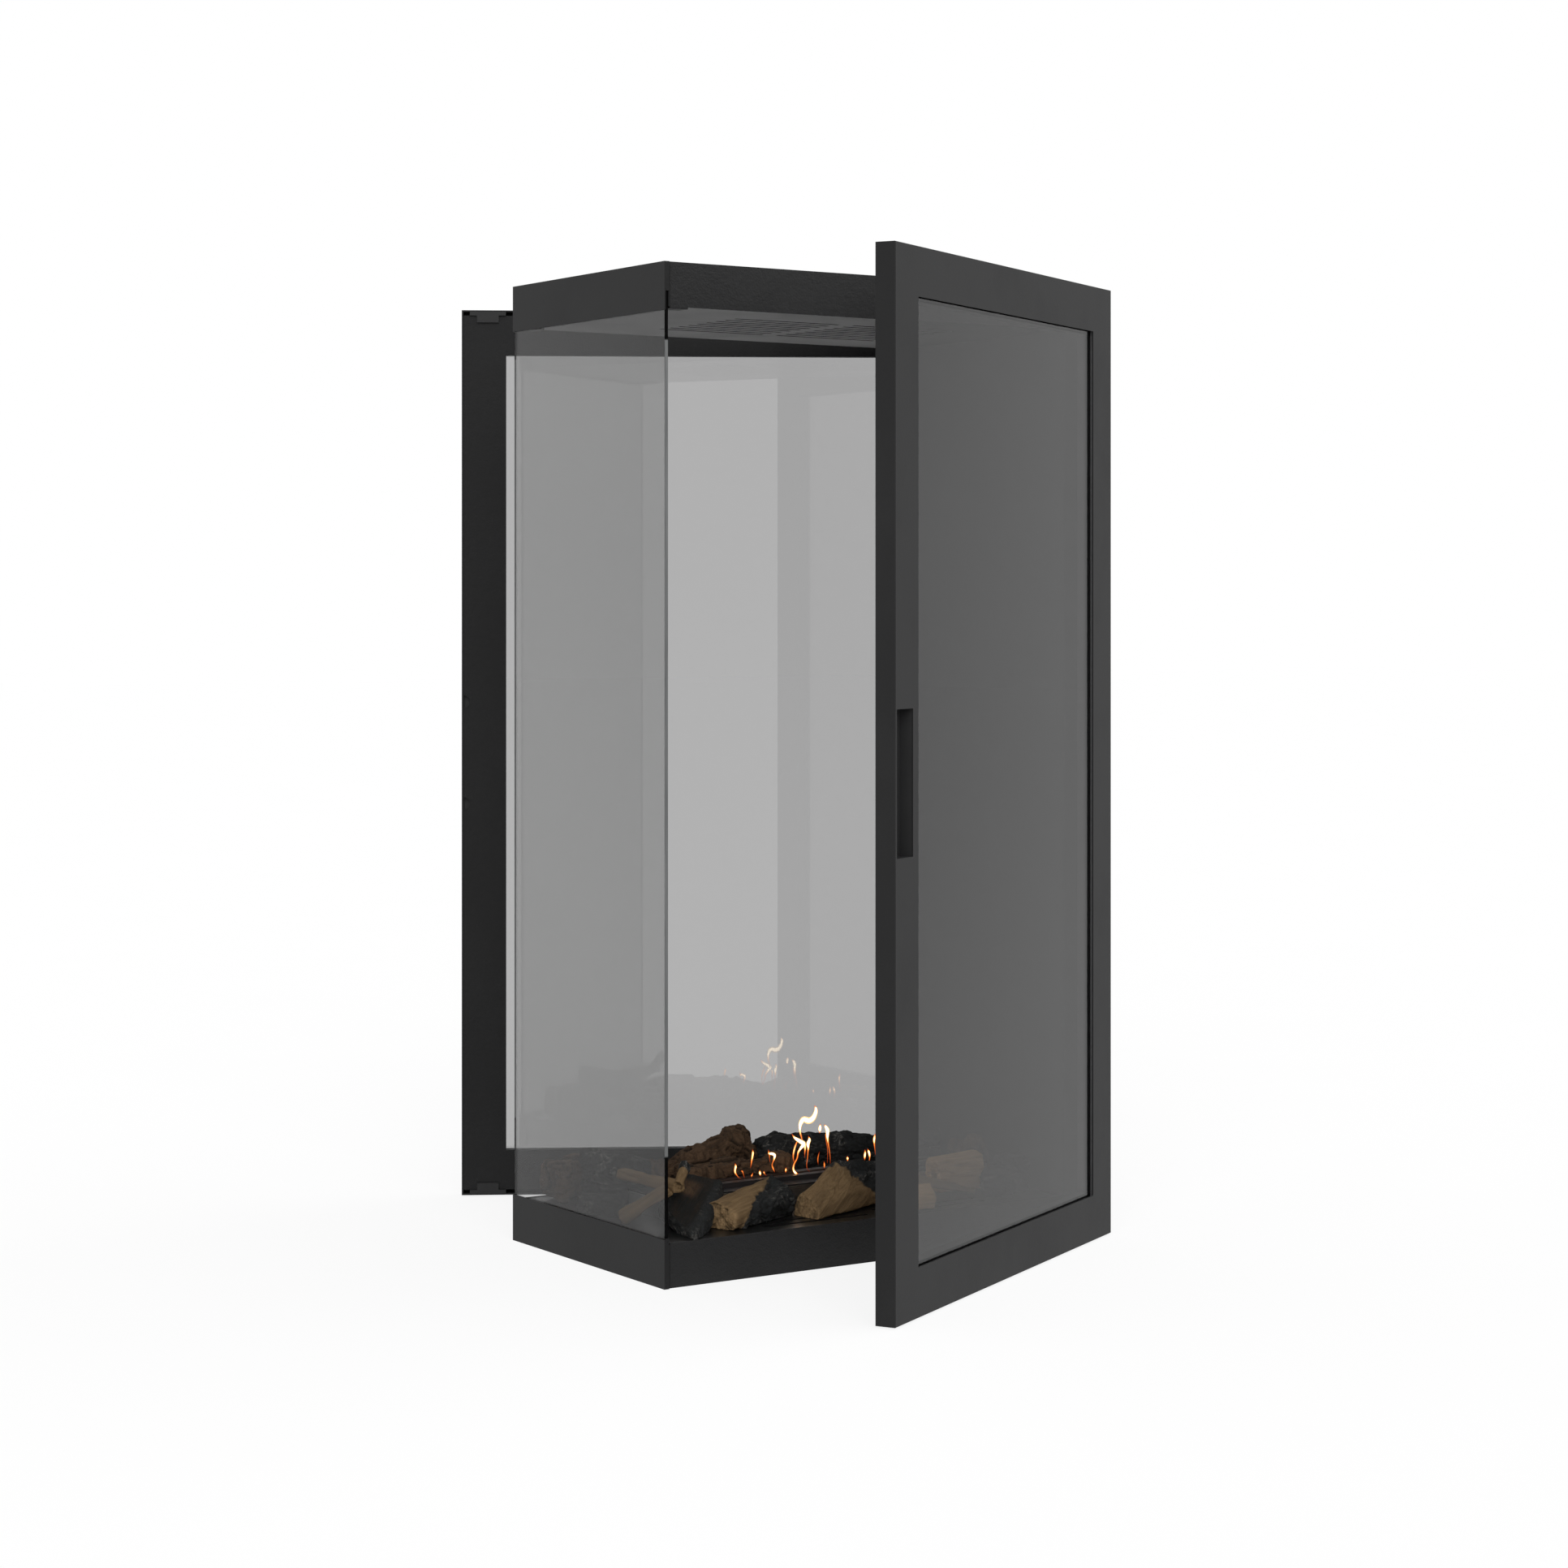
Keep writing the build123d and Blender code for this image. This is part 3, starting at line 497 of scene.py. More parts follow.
def burner_finish(colour, bands):
    """Rolled steel darkened by heat, with bands of colour on both sides of the flame slot, which runs along X."""
    material, tree, shader = new_finish("burner heat-tinted steel", {"Metallic": 0.3, "Specular IOR Level": 0.2})
    made = place_group(tree, brush_group(), {"Stretch": (25.0, 700.0, 700.0), "Stain Size": 0.03})
    away = math(tree, "ABSOLUTE", add(tree, "SeparateXYZ", {0: object_place(tree)}).outputs["Y"])
    away = math(tree, "ADD", away, math(tree, "MULTIPLY", made["Stain"], 0.012))
    tint = colour_ramp(tree, spread(tree, away, 0.006, 0.046), (*bands, (1.0, colour)))
    feed(tree, shader, {
        "Base Color": colour_mix(tree, evened(tree, made["Tone"], 0.0, 0.45), tint, opaque(colour, 0.5)),
        "Roughness": evened(tree, made["Stain"], 0.45, 0.62),
        "Normal": bump(tree, made["Height"], 0.00006),
    })
    return material


def turned_finish():
    """Bronze turned on a lathe: fine rings round the upright axis."""
    material, tree, shader = new_finish("turned bronze", {"Metallic": 1.0})
    place = object_place(tree)
    rings = add(tree, "TexWave", {"Vector": place, "Scale": 900.0, "Distortion": 0.3}, bands_direction="Z")
    patina = noise(tree, place, 260.0, 4.0)
    feed(tree, shader, {
        "Base Color": colour_mix(tree, spread(tree, patina, 0.35, 0.65), (0.45, 0.29, 0.12), (0.66, 0.46, 0.22)),
        "Roughness": spread(tree, patina, 0.35, 0.65, 0.42, 0.22),
        "Normal": bump(tree, rings.outputs["Fac"], 0.00004),
    })
    return material


def pane_finish(name, tint, bend, shine):
    """Tinted glass that lets lamps through: a refracting slab, a little deeper in colour in faint rolled bands."""
    material, tree, shader = new_finish(name, {
        "Transmission Weight": 1.0, "Roughness": 0.0, "IOR": bend, "Specular Tint": opaque((shine,) * 3),
    })
    bands = evened(tree, noise(tree, object_place(tree), 1.6, 1.0))
    feed(tree, shader, {"Base Color": colour_mix(tree, bands, opaque(tint, 0.985), opaque(tint, 1.015))})
    ray = add(tree, "LightPath").outputs
    mix_in(tree, shader, math(tree, "MAXIMUM", ray["Is Shadow Ray"], ray["Is Diffuse Ray"]),
           add(tree, "BsdfTransparent", {"Color": opaque(tint)}))
    return material


def ground_edge_finish():
    """The ground edge of glass: pale upright scratches, and black sealant over its lowest and highest parts."""
    material, tree, shader = new_finish("ground glass edge", {"Specular IOR Level": 0.05})
    made = place_group(tree, brush_group(), {"Stretch": (400.0, 400.0, 12.0)})
    height = add(tree, "SeparateXYZ", {0: object_place(tree)}).outputs["Z"]
    bare = math(tree, "MULTIPLY", spread(tree, height, *SEAL_FOOT), spread(tree, height, *SEAL_TOP))
    pale = colour_mix(tree, evened(tree, made["Tone"]), (0.12, 0.124, 0.124), (0.18, 0.184, 0.184))
    feed(tree, shader, {
        "Base Color": colour_mix(tree, bare, SEAL_COLOUR, pale),
        "Roughness": evened(tree, made["Tone"], 0.35, 0.5),
        "Normal": bump(tree, made["Height"], SATIN_DEPTH),
    })
    return material


def wood_finish(name, settings, light, dark, stretch, fibre_size, depth):
    """One of the cast wood finishes, from the group that all of them share. It is made once."""
    if name in bpy.data.materials:
        return bpy.data.materials[name]
    material, tree, shader = new_finish(name, {"Specular IOR Level": 0.11})
    made = place_group(tree, clay_group(), {
        "Light": opaque(light), "Dark": opaque(dark), "Charcoal": opaque(settings.charcoal),
        "Ash": opaque(settings.ash), "Stretch": stretch, "Fibre Size": fibre_size,
    })
    feed(tree, shader, {
        "Base Color": made["Color"],
        "Roughness": made["Roughness"],
        "Normal": bump(tree, made["Height"], depth),
    })
    return material


def split_wood_finish(name, settings, factor=1.0):
    """The finish of split wood, its colours times a factor."""
    return wood_finish(name, settings, opaque(settings.tan, factor), opaque(settings.tan_shade, factor),
                       (0.07, 1.0, 1.0), 0.002, 0.001)


def flame_finish(name, stops, clearness, power):
    """Glowing gas: the glow mark runs the colour over the ramp's stops, from the edge to the core, and makes it less
    clear."""
    material, tree, shader = new_finish(name, {
        "Base Color": (0.0, 0.0, 0.0, 1.0), "Roughness": 1.0, "Specular IOR Level": 0.0, "Emission Strength": power,
    })
    glow = add(tree, "Attribute", attribute_name="glow").outputs["Fac"]
    feed(tree, shader, {
        "Emission Color": colour_ramp(tree, glow, stops),
        "Alpha": spread(tree, glow, 0.0, 1.0, *clearness),
    })
    return material


def coat_nodes(slot, finish, *words):
    """Gives a finish to the CAD nodes that the record puts in a slot, or only to those whose names hold one of the
    words."""
    found = [part["node"] for part in frame["record"]["subparts"] if part["material_slot"] == slot]
    chosen = [node for node in found if not words or any(word in node for word in words)]
    if not chosen:
        raise RuntimeError(f"no CAD node for the finish {finish.name}")
    for node in chosen:
        for held in frame["nodes"][node].material_slots:
            held.material = finish


# The wood set. Each block runs between two places on its underside, in millimetres. Its sizes are the share of the
# way, the width and the height. Skew leans its two ends: how far a point moves along for each millimetre across and
# up, first at the start, then at the finish. Tilt turns its grain up from the way it runs, in degrees.

Block = namedtuple("Block", "outline start finish sizes skew tilt", defaults=((0, 0, 0, 0), 0))
ROUND = ((-0.7, -1), (0.6, -1), (1, -0.45), (0.95, 0.4), (0.5, 1), (-0.45, 0.95), (-1, 0.35), (-0.95, -0.5))
SPLIT = ((-0.95, -1), (0.85, -1), (1, -0.3), (0.55, 0.8), (-0.1, 1), (-1, 0.15))
SLAB = ((-1, -1), (0.95, -1), (1, 0.5), (0.7, 1), (-0.85, 0.9), (-1, 0.2))
RAMP = ((-0.8, -1), (0.75, -1), (1, -0.4), (0.95, 0.8), (0.6, 1), (-0.9, 0.3), (-1, -0.3))
WEDGE = ((-1, -1), (0.8, -1), (1, -0.4), (0.85, 0.75), (0.45, 1), (-0.9, -0.1), (-1, -0.5))
BED = 49.8  # top of the hearth plate
RIM = 2.0  # radius of the logs' rounded ends
LOG_SEEDS, BLOCK_SEEDS = 7, 100  # steps between the noise seeds of logs, and of one piece's blocks

BARK_LOGS = {
    "log_bark_back_left": (Block(ROUND, (-164.7, 108, BED), (-7.7, 120, BED), ((0, 40, 38), (0.35, 44, 43),
        (0.5, 44, 49), (0.72, 46, 62), (1, 46, 65)), (0.3, 0.2, 0, 0)),),
    "log_bark_on_burner": (Block(SLAB, (-151.7, 32, 79.3), (0.3, 32, 79.3), ((0, 38, 14), (0.5, 40, 18), (1, 36, 16)),
        (0.2, 0, 0.3, 0)),),
    "log_brown_left": (Block(SLAB, (-267.7, 140, BED), (-185.7, 146, BED), ((0, 40, 44), (1, 40, 50))),),
    "log_bark_right": (Block(ROUND, (240.3, -26, BED), (240.3, 18, BED), ((0, 32, 44), (1, 32, 47))),),
}
CHARRED_LOGS = {
    "log_charred_back_right": (Block(ROUND, (5.3, 112, BED), (220.3, 108, BED), ((0, 42, 52), (0.12, 46, 60),
        (0.4, 46, 56), (0.7, 46, 46), (1, 42, 41)), (0.1, 0.1, 0, 0)),),
    "log_charred_slab": (Block(SLAB, (-251.7, -118, BED), (-163.7, -34, BED + 32), ((0, 62, 15), (0.4, 70, 14),
        (1, 56, 13)), (1.3, 0.3, 0.3, 0)),),
    "log_charcoal_left": (Block(ROUND, (-251.7, 92, BED), (-175.7, 66, BED), ((0, 40, 66), (1, 34, 52))),),
    "log_charcoal_back": (Block(ROUND, (168.3, 66, BED), (240.3, 66, BED), ((0, 34, 50), (1, 34, 56))),),
    "log_knotted_right": (Block(ROUND, (238.3, -118, BED), (236.3, -78, BED), ((0, 34, 46), (1, 34, 42))),),
    "charred_chips": (
        Block(SLAB, (-281.7, 48, BED), (-249.7, 8, BED), ((0, 34, 24), (1, 30, 20))),
        Block(ROUND, (180.3, -120, BED), (210.3, -136, BED), ((0, 34, 34), (1, 32, 30))),
    ),
}
SPLIT_LOGS = {
    "log_split_front": (Block(RAMP, (-197.7, -126, BED), (-84.7, -76, BED), ((0, 48, 29), (0.5, 52, 37), (1, 50, 43)),
        (0.1, 0.3, 0.2, 0)),),
    "log_split_centre": (Block(WEDGE, (-73.7, -119, BED), (70.3, -68, BED), ((0, 42, 25), (0.42, 52, 54),
        (0.7, 46, 51), (1, 38, 44)), (0.2, 0.4, 0, 0), 26),),
    "log_tan_right": (Block(SLAB, (148.3, -58, BED), (214.3, -62, BED), ((0, 32, 40), (1, 32, 44))),),
    "log_tan_front": (Block(SPLIT, (24.3, -132, BED), (82.3, -146, BED), ((0, 30, 28), (1, 34, 30))),),
}
TWIGS = (
    Block(ROUND, (-258.7, -15, BED), (-231.7, -74, BED + 36), ((0, 16, 12), (1, 16, 14))),
    Block(ROUND, (-269.7, -38, BED), (-231.7, -78, BED + 36), ((0, 16, 12), (1, 16, 14))),
    Block(SLAB, (-237.7, 28, BED + 40), (-227.7, -84, BED + 38), ((0, 18, 12), (1, 16, 14))),
    Block(ROUND, (-229.7, -84, BED + 40), (-203.7, -60, BED + 60), ((0, 14, 14), (1, 10, 12))),
    Block(SLAB, (82.3, -76, BED + 22), (176.3, -108, BED), ((0, 10, 10), (1, 12, 10))),
)


def bark_relief(body, grain, facing, share, seed):
    """Bark in curved shelves, one lying on the next, with short furrows, grooves round the log and fine grit."""
    swirl = grain + 5 * np.stack([ripple(grain, 17, seed + k) for k in range(3)], axis=-1)
    rise = 0.5 + 0.85 * rough(swirl * (0.8, 1, 1), 27, 2, seed + 3)
    shelf, foot = shelves(rise, 4, 0.16)
    level, border = crazing(swirl * (0.45, 1, 1), 8, seed + 7)
    furrow = smooth(0, 0.16, border)
    grit = rough(grain * (0.6, 1, 1), 3.0, 3, seed + 12)
    groove = rough(swirl * (1, 0.25, 0.25), 4.5, 2, seed + 17)
    height = 16 * shelf + 0.8 * furrow + 0.8 * level + 1.1 * grit + 0.9 * groove
    # Painted shade at the foot of each shelf, in the furrows and in the grooves
    hollow = np.maximum(foot, np.maximum(0.4 * (1 - furrow), 0.6 * smooth(0.1, 0.7, -groove)))
    return height, {"char": 0 * level, "hollow": hollow, "ash": 0 * level, "tone": 0.5 * level + 0.5 * shelf}


def char_relief(body, grain, facing, share, seed):
    """Charcoal: broken lumps with short cracks, thin silvery lines where stretched noise crosses 0, and grit."""
    swirl = grain + 4 * np.stack([ripple(grain, 13, seed + k) for k in range(3)], axis=-1)
    swell = rough(swirl * (0.5, 1, 1), 22, 4, seed + 3)
    level, border = crazing(swirl * (0.5, 1, 1), 12, seed + 6)
    block = smooth(0, 0.2, border)
    grit = rough(grain * (0.5, 1, 1), 2.4, 3, seed + 16)
    ridge = 1 - np.abs(rough(swirl * (0.4, 1, 1), 8, 3, seed + 24)) * 2.5
    height = 7 * swell + 1.5 * block * level + 1.8 * ridge + 0.9 * grit
    patch = smooth(-0.3, 0.5, ripple(grain, 16, seed + 19))
    ash = patch * (0.8 * smooth(0.72, 0.95, ridge) + 0.35 * smooth(0.0, 0.5, grit))
    # Painted shade in the cracks and in the low parts of the lumps
    hollow = 0.55 * (1 - smooth(0, 0.13, border)) + 0.4 * smooth(0.15, 0.6, -swell)
    return height, {"char": 1 + 0 * level, "hollow": hollow, "ash": ash, "tone": level}


def slab_relief(body, grain, facing, share, seed):
    """A charred board: faces almost flat with fine long fibres, and broken edges with grey ash."""
    height, marks = char_relief(body, grain, facing, share, seed)
    fibres = rough(grain * (0.08, 1, 1), 2.2, 3, seed + 30)
    flat = smooth(0.25, 0.6, np.abs(body[..., 2]) / 9) * facing
    flat = flat * (1 - smooth(17, 21, np.abs(body[..., 1])))
    marks["ash"] = mixed(marks["ash"], 0 * fibres, flat)
    # The flat faces get a darker colour of the board through this mark, with painted shade between the low fibres
    marks["hollow"] = mixed(marks["hollow"], 0.72 + 0.2 * smooth(0.1, 0.6, -fibres), flat)
    pale = smooth(0.45, 0.62, share) * (1 - smooth(0.75, 0.92, share)) * smooth(-12, 4, body[..., 1])
    marks["char"] = mixed(marks["char"], 0.6 + 0.12 * fibres - 0.35 * pale, flat)
    marks["hollow"] = marks["hollow"] * (1 - 0.7 * pale)
    return mixed(0.55 * height, 0.5 * fibres + 1.2 * rough(grain, 30, 2, seed + 34), flat), marks


def split_relief(body, grain, facing, share, seed):
    """Split wood: long fibres and shallow shelves along the grain, and torn fibre ends where the piece was cut."""
    swirl = grain + 3 * np.stack([ripple(grain * (0.4, 1, 1), 14, seed + k) for k in range(3)], axis=-1)
    rise = 0.5 + 0.8 * rough(swirl * (0.07, 1, 1), 17, 2, seed + 3)
    shelf, foot = shelves(rise, 4, 0.2)
    fibres = rough(swirl * (0.06, 1, 1), 2.4, 3, seed + 6)
    swell = rough(grain, 34, 2, seed + 10)
    broken = rough(grain, 13, 4, seed + 14)
    level = crazing(grain, 5, seed + 20)[0]
    torn = 5.0 * broken + 0.8 * level + 1.5 * rough(grain, 3, 2, seed + 26)
    side = 2.6 * shelf + 0.55 * fibres + 2.6 * swell
    height = mixed(torn + 2.6 * swell, side, facing)
    # Painted shade in the low parts of the torn ends, at the foot of the shelves and between the fibres
    hollow = mixed(0.7 * smooth(0.05, 0.45, -broken), 0.25 * foot + 0.2 * smooth(0.2, 0.7, -fibres), facing)
    return height, {"char": 0 * hollow, "hollow": hollow, "ash": 0 * hollow, "tone": 0.5 + 0.5 * fibres}


def burn(relief, start, along, across, up):
    """Adds charring to a relief: where the place along the piece, from 0 to 1, plus across and up times the place on
    its section, in millimetres, passes start, the wood's height and marks turn into charcoal's."""

    def burnt_relief(body, grain, facing, share, seed):
        height, marks = relief(body, grain, facing, share, seed)
        black, black_marks = char_relief(body, grain, facing, share, seed + 40)
        reach = along * share + across * body[..., 1] + up * body[..., 2]
        reach = reach + 0.1 * rough(grain, 12, 3, seed + 60)
        fire = smooth(start - 0.08, start + 0.08, reach)
        merged = {name: mixed(marks[name], black_marks[name], fire) for name in marks}
        merged["char"] = fire
        return mixed(height, black, fire), merged

    return burnt_relief


def wood_surface(block, relief, seed, step, corner):
    """A profile carried along a path: the run line's place along the piece, and its share of the section's reach in
    each direction round it, with the section changing along the way. Every point is then moved along its outward
    direction by the relief, and none goes below the underside."""
    start, finish = np.array(block.start, float), np.array(block.finish, float)
    length = np.linalg.norm(finish - start)
    along = (finish - start) / length
    across = np.cross((0, 0, 1), along)
    across /= np.linalg.norm(across)
    up = np.cross(along, across)
    sizes = np.array(block.sizes, float)
    girth = sizes[:, 1:].mean() / 2
    place, part, push, swell = run_line(length, girth, RIM, step)
    share = place / length
    size = np.stack([np.interp(share, sizes[:, 0], sizes[:, k]) for k in (1, 2)], axis=-1)
    around = int(2 * np.pi * girth / step)
    turn = np.linspace(0, 2 * np.pi, around, endpoint=False)
    reach = section_reach(turn, block.outline, size, corner)
    spoke = np.stack((np.cos(turn), np.sin(turn)), axis=-1)
    grain = np.empty((len(place), around, 3))
    grain[..., 0] = place[:, None]
    grain[..., 1:] = (reach * part[:, None])[..., None] * spoke
    outward = np.empty_like(grain)
    outward[..., 0] = push[:, None]
    outward[..., 1:] = swell[:, None, None] * spoke
    slope = np.radians(block.tilt)
    drawn = grain.copy()
    drawn[..., 0] = grain[..., 0] * np.cos(slope) + grain[..., 2] * np.sin(slope)
    drawn[..., 2] = grain[..., 2] * np.cos(slope) - grain[..., 0] * np.sin(slope)
    height, marks = relief(grain, drawn, swell[:, None] ** 2, share[:, None], seed)
    moved = grain + outward * (height - np.median(height))[..., None]
    lean = mixed(moved[..., 1:] @ np.array(block.skew[:2]), moved[..., 1:] @ np.array(block.skew[2:]), share[:, None])
    moved[..., 0] += lean
    moved[..., 2] += size[:, None, 1] / 2
    points = start + moved[..., :1] * along + moved[..., 1:2] * across + moved[..., 2:] * up
    points[..., 2] = np.maximum(points[..., 2], min(start[2], finish[2]))
    marks["grain"] = drawn * MM

    def strung(values):
        """One point for each pole, and the rings between."""
        inner = values[1:-1].reshape(-1, *values.shape[2:])
        return np.concatenate((values[:1, 0], inner, values[-1:, 0]))

    marks = {name: strung(np.broadcast_to(values, grain.shape[:2]) if values.ndim == 2 else values)
             for name, values in marks.items()}
    return strung(points), tube_triangles(len(place) - 2, around), marks


def lay_wood(node, blocks, reliefs, finish, seed, settings, fineness=1.0, corner=14.0):
    """Makes one node's wood and puts it in place of the node. Fineness is a share of the settings' mesh step, and
    corner says how sharp the corners of the section are."""
    step = settings.mesh_step / MM * fineness
    surfaces = [wood_surface(block, relief, seed + BLOCK_SEEDS * number, step, corner)
                for number, (block, relief) in enumerate(zip(blocks, reliefs))]
    put_piece("cast_" + node, joined(surfaces), finish, "cabinet", node)


def lay_logs(logs, choose, seed, settings):
    """Lays a table's logs, each with seeds of its own and the relief and finish that choose gives for its node."""
    for number, (node, blocks) in enumerate(logs.items()):
        relief, finish = choose(node)
        lay_wood(node, blocks, [relief] * len(blocks), finish, seed + LOG_SEEDS * number, settings)


# Flames. Each starts on the burner's slot, at a place in millimetres, and lies in the upright plane that runs along
# FLAME_SIDE. Its line is given from tip to foot as side step, height above the collar and half width.

Flame = namedtuple("Flame", "foot line")
FLAME_SIDE = np.array((0.8352, -0.55, 0.0))
COLLAR_TOP = 79.3
FLAMES = (
    Flame((-4.0, -4), ((14.4, 81.3, 0.2), (16.3, 76.8, 2.4), (15.7, 71.3, 3.4), (12.3, 65.0, 4.6), (7.4, 62.5, 5.6),
        (1.5, 64.0, 4.8), (-2.0, 59.6, 3.5), (-3.1, 54.6, 2.4), (-2.9, 48.7, 1.6), (-1.4, 42.8, 1.2),
        (0.0, 37.0, 0.9))),
    Flame((-15.5, -12), ((-8.0, 48.8, 0.2), (-4.3, 43.8, 2.0), (1.6, 39.9, 3.4), (6.6, 36.3, 3.9), (3.3, 31.5, 2.3),
        (0.0, 26.1, 1.5), (-1.4, 19.0, 1.2), (-4.9, 12.1, 1.3), (-5.9, 6.0, 1.6), (-3.4, 1.4, 2.0), (0.0, 0.4, 0.6))),
    Flame((3.9, -8), ((-1.8, 44.0, 0.2), (-0.4, 39.3, 2.3), (-2.2, 34.0, 2.9), (-1.8, 29.5, 1.8), (-2.2, 24.2, 1.1),
        (-2.7, 17.2, 0.9), (-3.7, 9.7, 0.7), (-2.9, 3.9, 0.5), (0.0, 0.4, 0.2))),
    Flame((-3.4, -8), ((0.2, 33.5, 2.0), (0.4, 28.6, 1.5), (0.1, 23.7, 0.9), (0.0, 17.8, 0.2))),
    Flame((-17.1, -6), ((4.9, 41.3, 0.6), (2.0, 35.4, 1.3), (-0.4, 27.6, 1.5), (-1.4, 19.7, 1.1), (0.0, 11.9, 0.3))),
    Flame((25.1, 2), ((0.8, 55.7, 0.2), (0.7, 52.4, 2.1), (0.3, 48.9, 2.7), (0.1, 45.4, 1.2), (0.0, 43.5, 0.1))),
    Flame((40.7, 2), ((-7.6, 53.2, 0.4), (-5.4, 50.5, 2.4), (-3.5, 46.5, 3.4), (-3.3, 42.6, 2.9), (-3.3, 36.1, 1.8),
        (-2.3, 29.2, 1.2), (-0.9, 20.8, 0.9), (-0.1, 12.4, 0.7), (0.0, 5.4, 0.3))),
    Flame((36.4, 2), ((-1.6, 41.5, 1.4), (-1.4, 34.5, 0.9), (-0.1, 26.6, 0.7), (0.4, 19.7, 0.6), (0.0, 6.8, 0.3))),
    Flame((23.7, 3), ((1.6, 21.7, 0.2), (0.5, 17.8, 0.8), (-0.4, 13.3, 1.0), (-0.4, 9.4, 0.8), (0.0, 5.9, 0.2))),
    Flame((30.4, 0), ((-0.2, 9.8, 0.2), (0.2, 6.6, 1.2), (0.3, 3.7, 1.2), (0.0, 0.7, 0.3))),
    Flame((-30.9, -8), ((0.4, 8.9, 0.2), (0.2, 6.6, 1.5), (0.0, 4.4, 1.3), (0.0, 2.2, 0.3))),
    Flame((65.0, 0), ((-0.3, 12.9, 0.2), (-0.1, 10.4, 1.8), (0.0, 7.9, 1.2), (0.0, 5.5, 0.3))),
    Flame((90.4, 0), ((0.3, 18.9, 0.2), (0.6, 15.1, 1.5), (0.2, 11.2, 1.9), (0.0, 7.7, 1.2), (0.0, 5.2, 0.3))),
    Flame((96.6, 0), ((-1.8, 19.1, 0.2), (-0.2, 15.6, 1.9), (0.8, 11.6, 1.8), (1.0, 7.6, 1.1), (0.2, 3.1, 0.7),
        (0.0, 1.1, 0.2))),
    Flame((106.4, 0), ((-0.2, 37.2, 0.2), (-0.8, 33.6, 1.5), (-1.5, 29.2, 1.9), (-1.3, 24.2, 1.3), (-0.6, 17.7, 0.8),
        (0.0, 10.7, 0.4))),
    Flame((-92.3, -4), ((-7.3, 19.1, 0.3), (-6.4, 15.2, 1.8), (-7.2, 10.9, 1.7), (-6.9, 7.6, 1.5), (-5.0, 4.6, 1.0),
        (-2.9, 2.0, 0.7), (0.0, 0.4, 0.2))),
    Flame((-86.1, -2), ((-4.5, 8.8, 0.4), (-2.7, 8.5, 1.2), (-1.6, 5.9, 0.8), (-0.8, 3.0, 0.6), (0.0, 0.5, 0.2))),
    Flame((-77.6, -2), ((2.5, 34.4, 0.2), (2.9, 30.0, 1.7), (2.3, 25.1, 1.6), (1.4, 20.2, 1.3), (0.8, 15.9, 0.9),
        (0.0, 11.5, 0.3))),
    Flame((-76.4, -2), ((2.1, 6.0, 0.3), (1.4, 4.2, 0.9), (0.4, 2.3, 1.3), (0.0, 0.4, 0.3))),
    Flame((-63.2, -2), ((-1.1, 8.1, 0.2), (-0.9, 5.8, 1.6), (-0.5, 3.3, 1.9), (0.0, 0.4, 0.3))),
    Flame((-54.6, -2), ((-3.1, 6.0, 0.3), (-3.1, 4.2, 1.4), (-2.1, 2.2, 0.8), (0.0, 0.4, 0.2))),
    Flame((-42.7, -2), ((-7.8, 30.6, 0.2), (-6.8, 25.8, 1.8), (-3.9, 25.7, 2.4), (-0.4, 24.0, 2.5), (-0.8, 19.5, 1.6),
        (-2.3, 15.5, 1.0), (-3.3, 12.1, 1.0), (-2.0, 7.7, 1.3), (0.0, 3.2, 0.3))),
    Flame((-49.7, -2), ((-0.8, 26.0, 1.2), (-0.4, 21.1, 0.7), (0.0, 16.2, 0.4))),
)


def flame_surface(flame, fullness, rings=40, around=12):
    """A flat round tube along a smooth line. Through each given place the line keeps the direction from the place
    before to the place after, and between two places it is the cubic that meets both. The tube is fullness times
    as wide as given, half as deep, and comes to a point at both ends. Its glow mark grows with its width."""
    given = np.array(flame.line[::-1], float)
    slopes = np.gradient(given, axis=0)
    t = np.linspace(0, len(given) - 1, rings)
    part = np.minimum(t.astype(int), len(given) - 2)
    u = (t - part)[:, None]
    line = (given[part] * (2 * u ** 3 - 3 * u ** 2 + 1) + slopes[part] * (u ** 3 - 2 * u ** 2 + u)
            + given[part + 1] * (3 * u ** 2 - 2 * u ** 3) + slopes[part + 1] * (u ** 3 - u ** 2))
    forward = np.gradient(line[:, :2], axis=0)
    forward /= np.linalg.norm(forward, axis=1, keepdims=True)
    width = np.maximum(line[:, 2], 0.1) * fullness
    turn = np.linspace(0, 2 * np.pi, around, endpoint=False)
    flat = np.stack((-forward[:, 1], forward[:, 0]), axis=-1)[:, None] * (width[:, None] * np.cos(turn))[..., None]
    flat = flat + line[:, None, :2]
    deep = 0.55 * width[:, None] * np.sin(turn)
    foot = np.array((*flame.foot, COLLAR_TOP))
    back = np.cross((0, 0, 1), FLAME_SIDE)
    points = foot + flat[..., :1] * FLAME_SIDE + flat[..., 1:] * (0, 0, 1) - deep[..., None] * back
    glow = np.repeat(smooth(0.2, 3.2, line[:, 2]), around)
    return *closed_tube(points), {"glow": np.concatenate((glow[:1], glow, glow[-1:]))}


# Settings

class StageSettings(PropertyGroup):
    """The floor and the lights."""

    floor_colour: FloatVectorProperty(name="Floor", description="Colour of the floor", subtype="COLOR",
                                      default=(0.9, 0.9, 0.9), min=0, max=1)
    room_light: FloatProperty(name="Room light", description="Brightness of the light from all sides",
                              default=0.6, min=0, max=2)
    key_light: FloatProperty(name="Key light", description="Strength of the lamp on the left", default=1.9, min=0)
    fill_light: FloatProperty(name="Fill light", description="Strength of the lamp on the right", default=0.9,
                              min=0)
    floor_width: FloatProperty(name="Floor width", description="Width of the square floor", unit="LENGTH",
                               default=60.0, min=2)


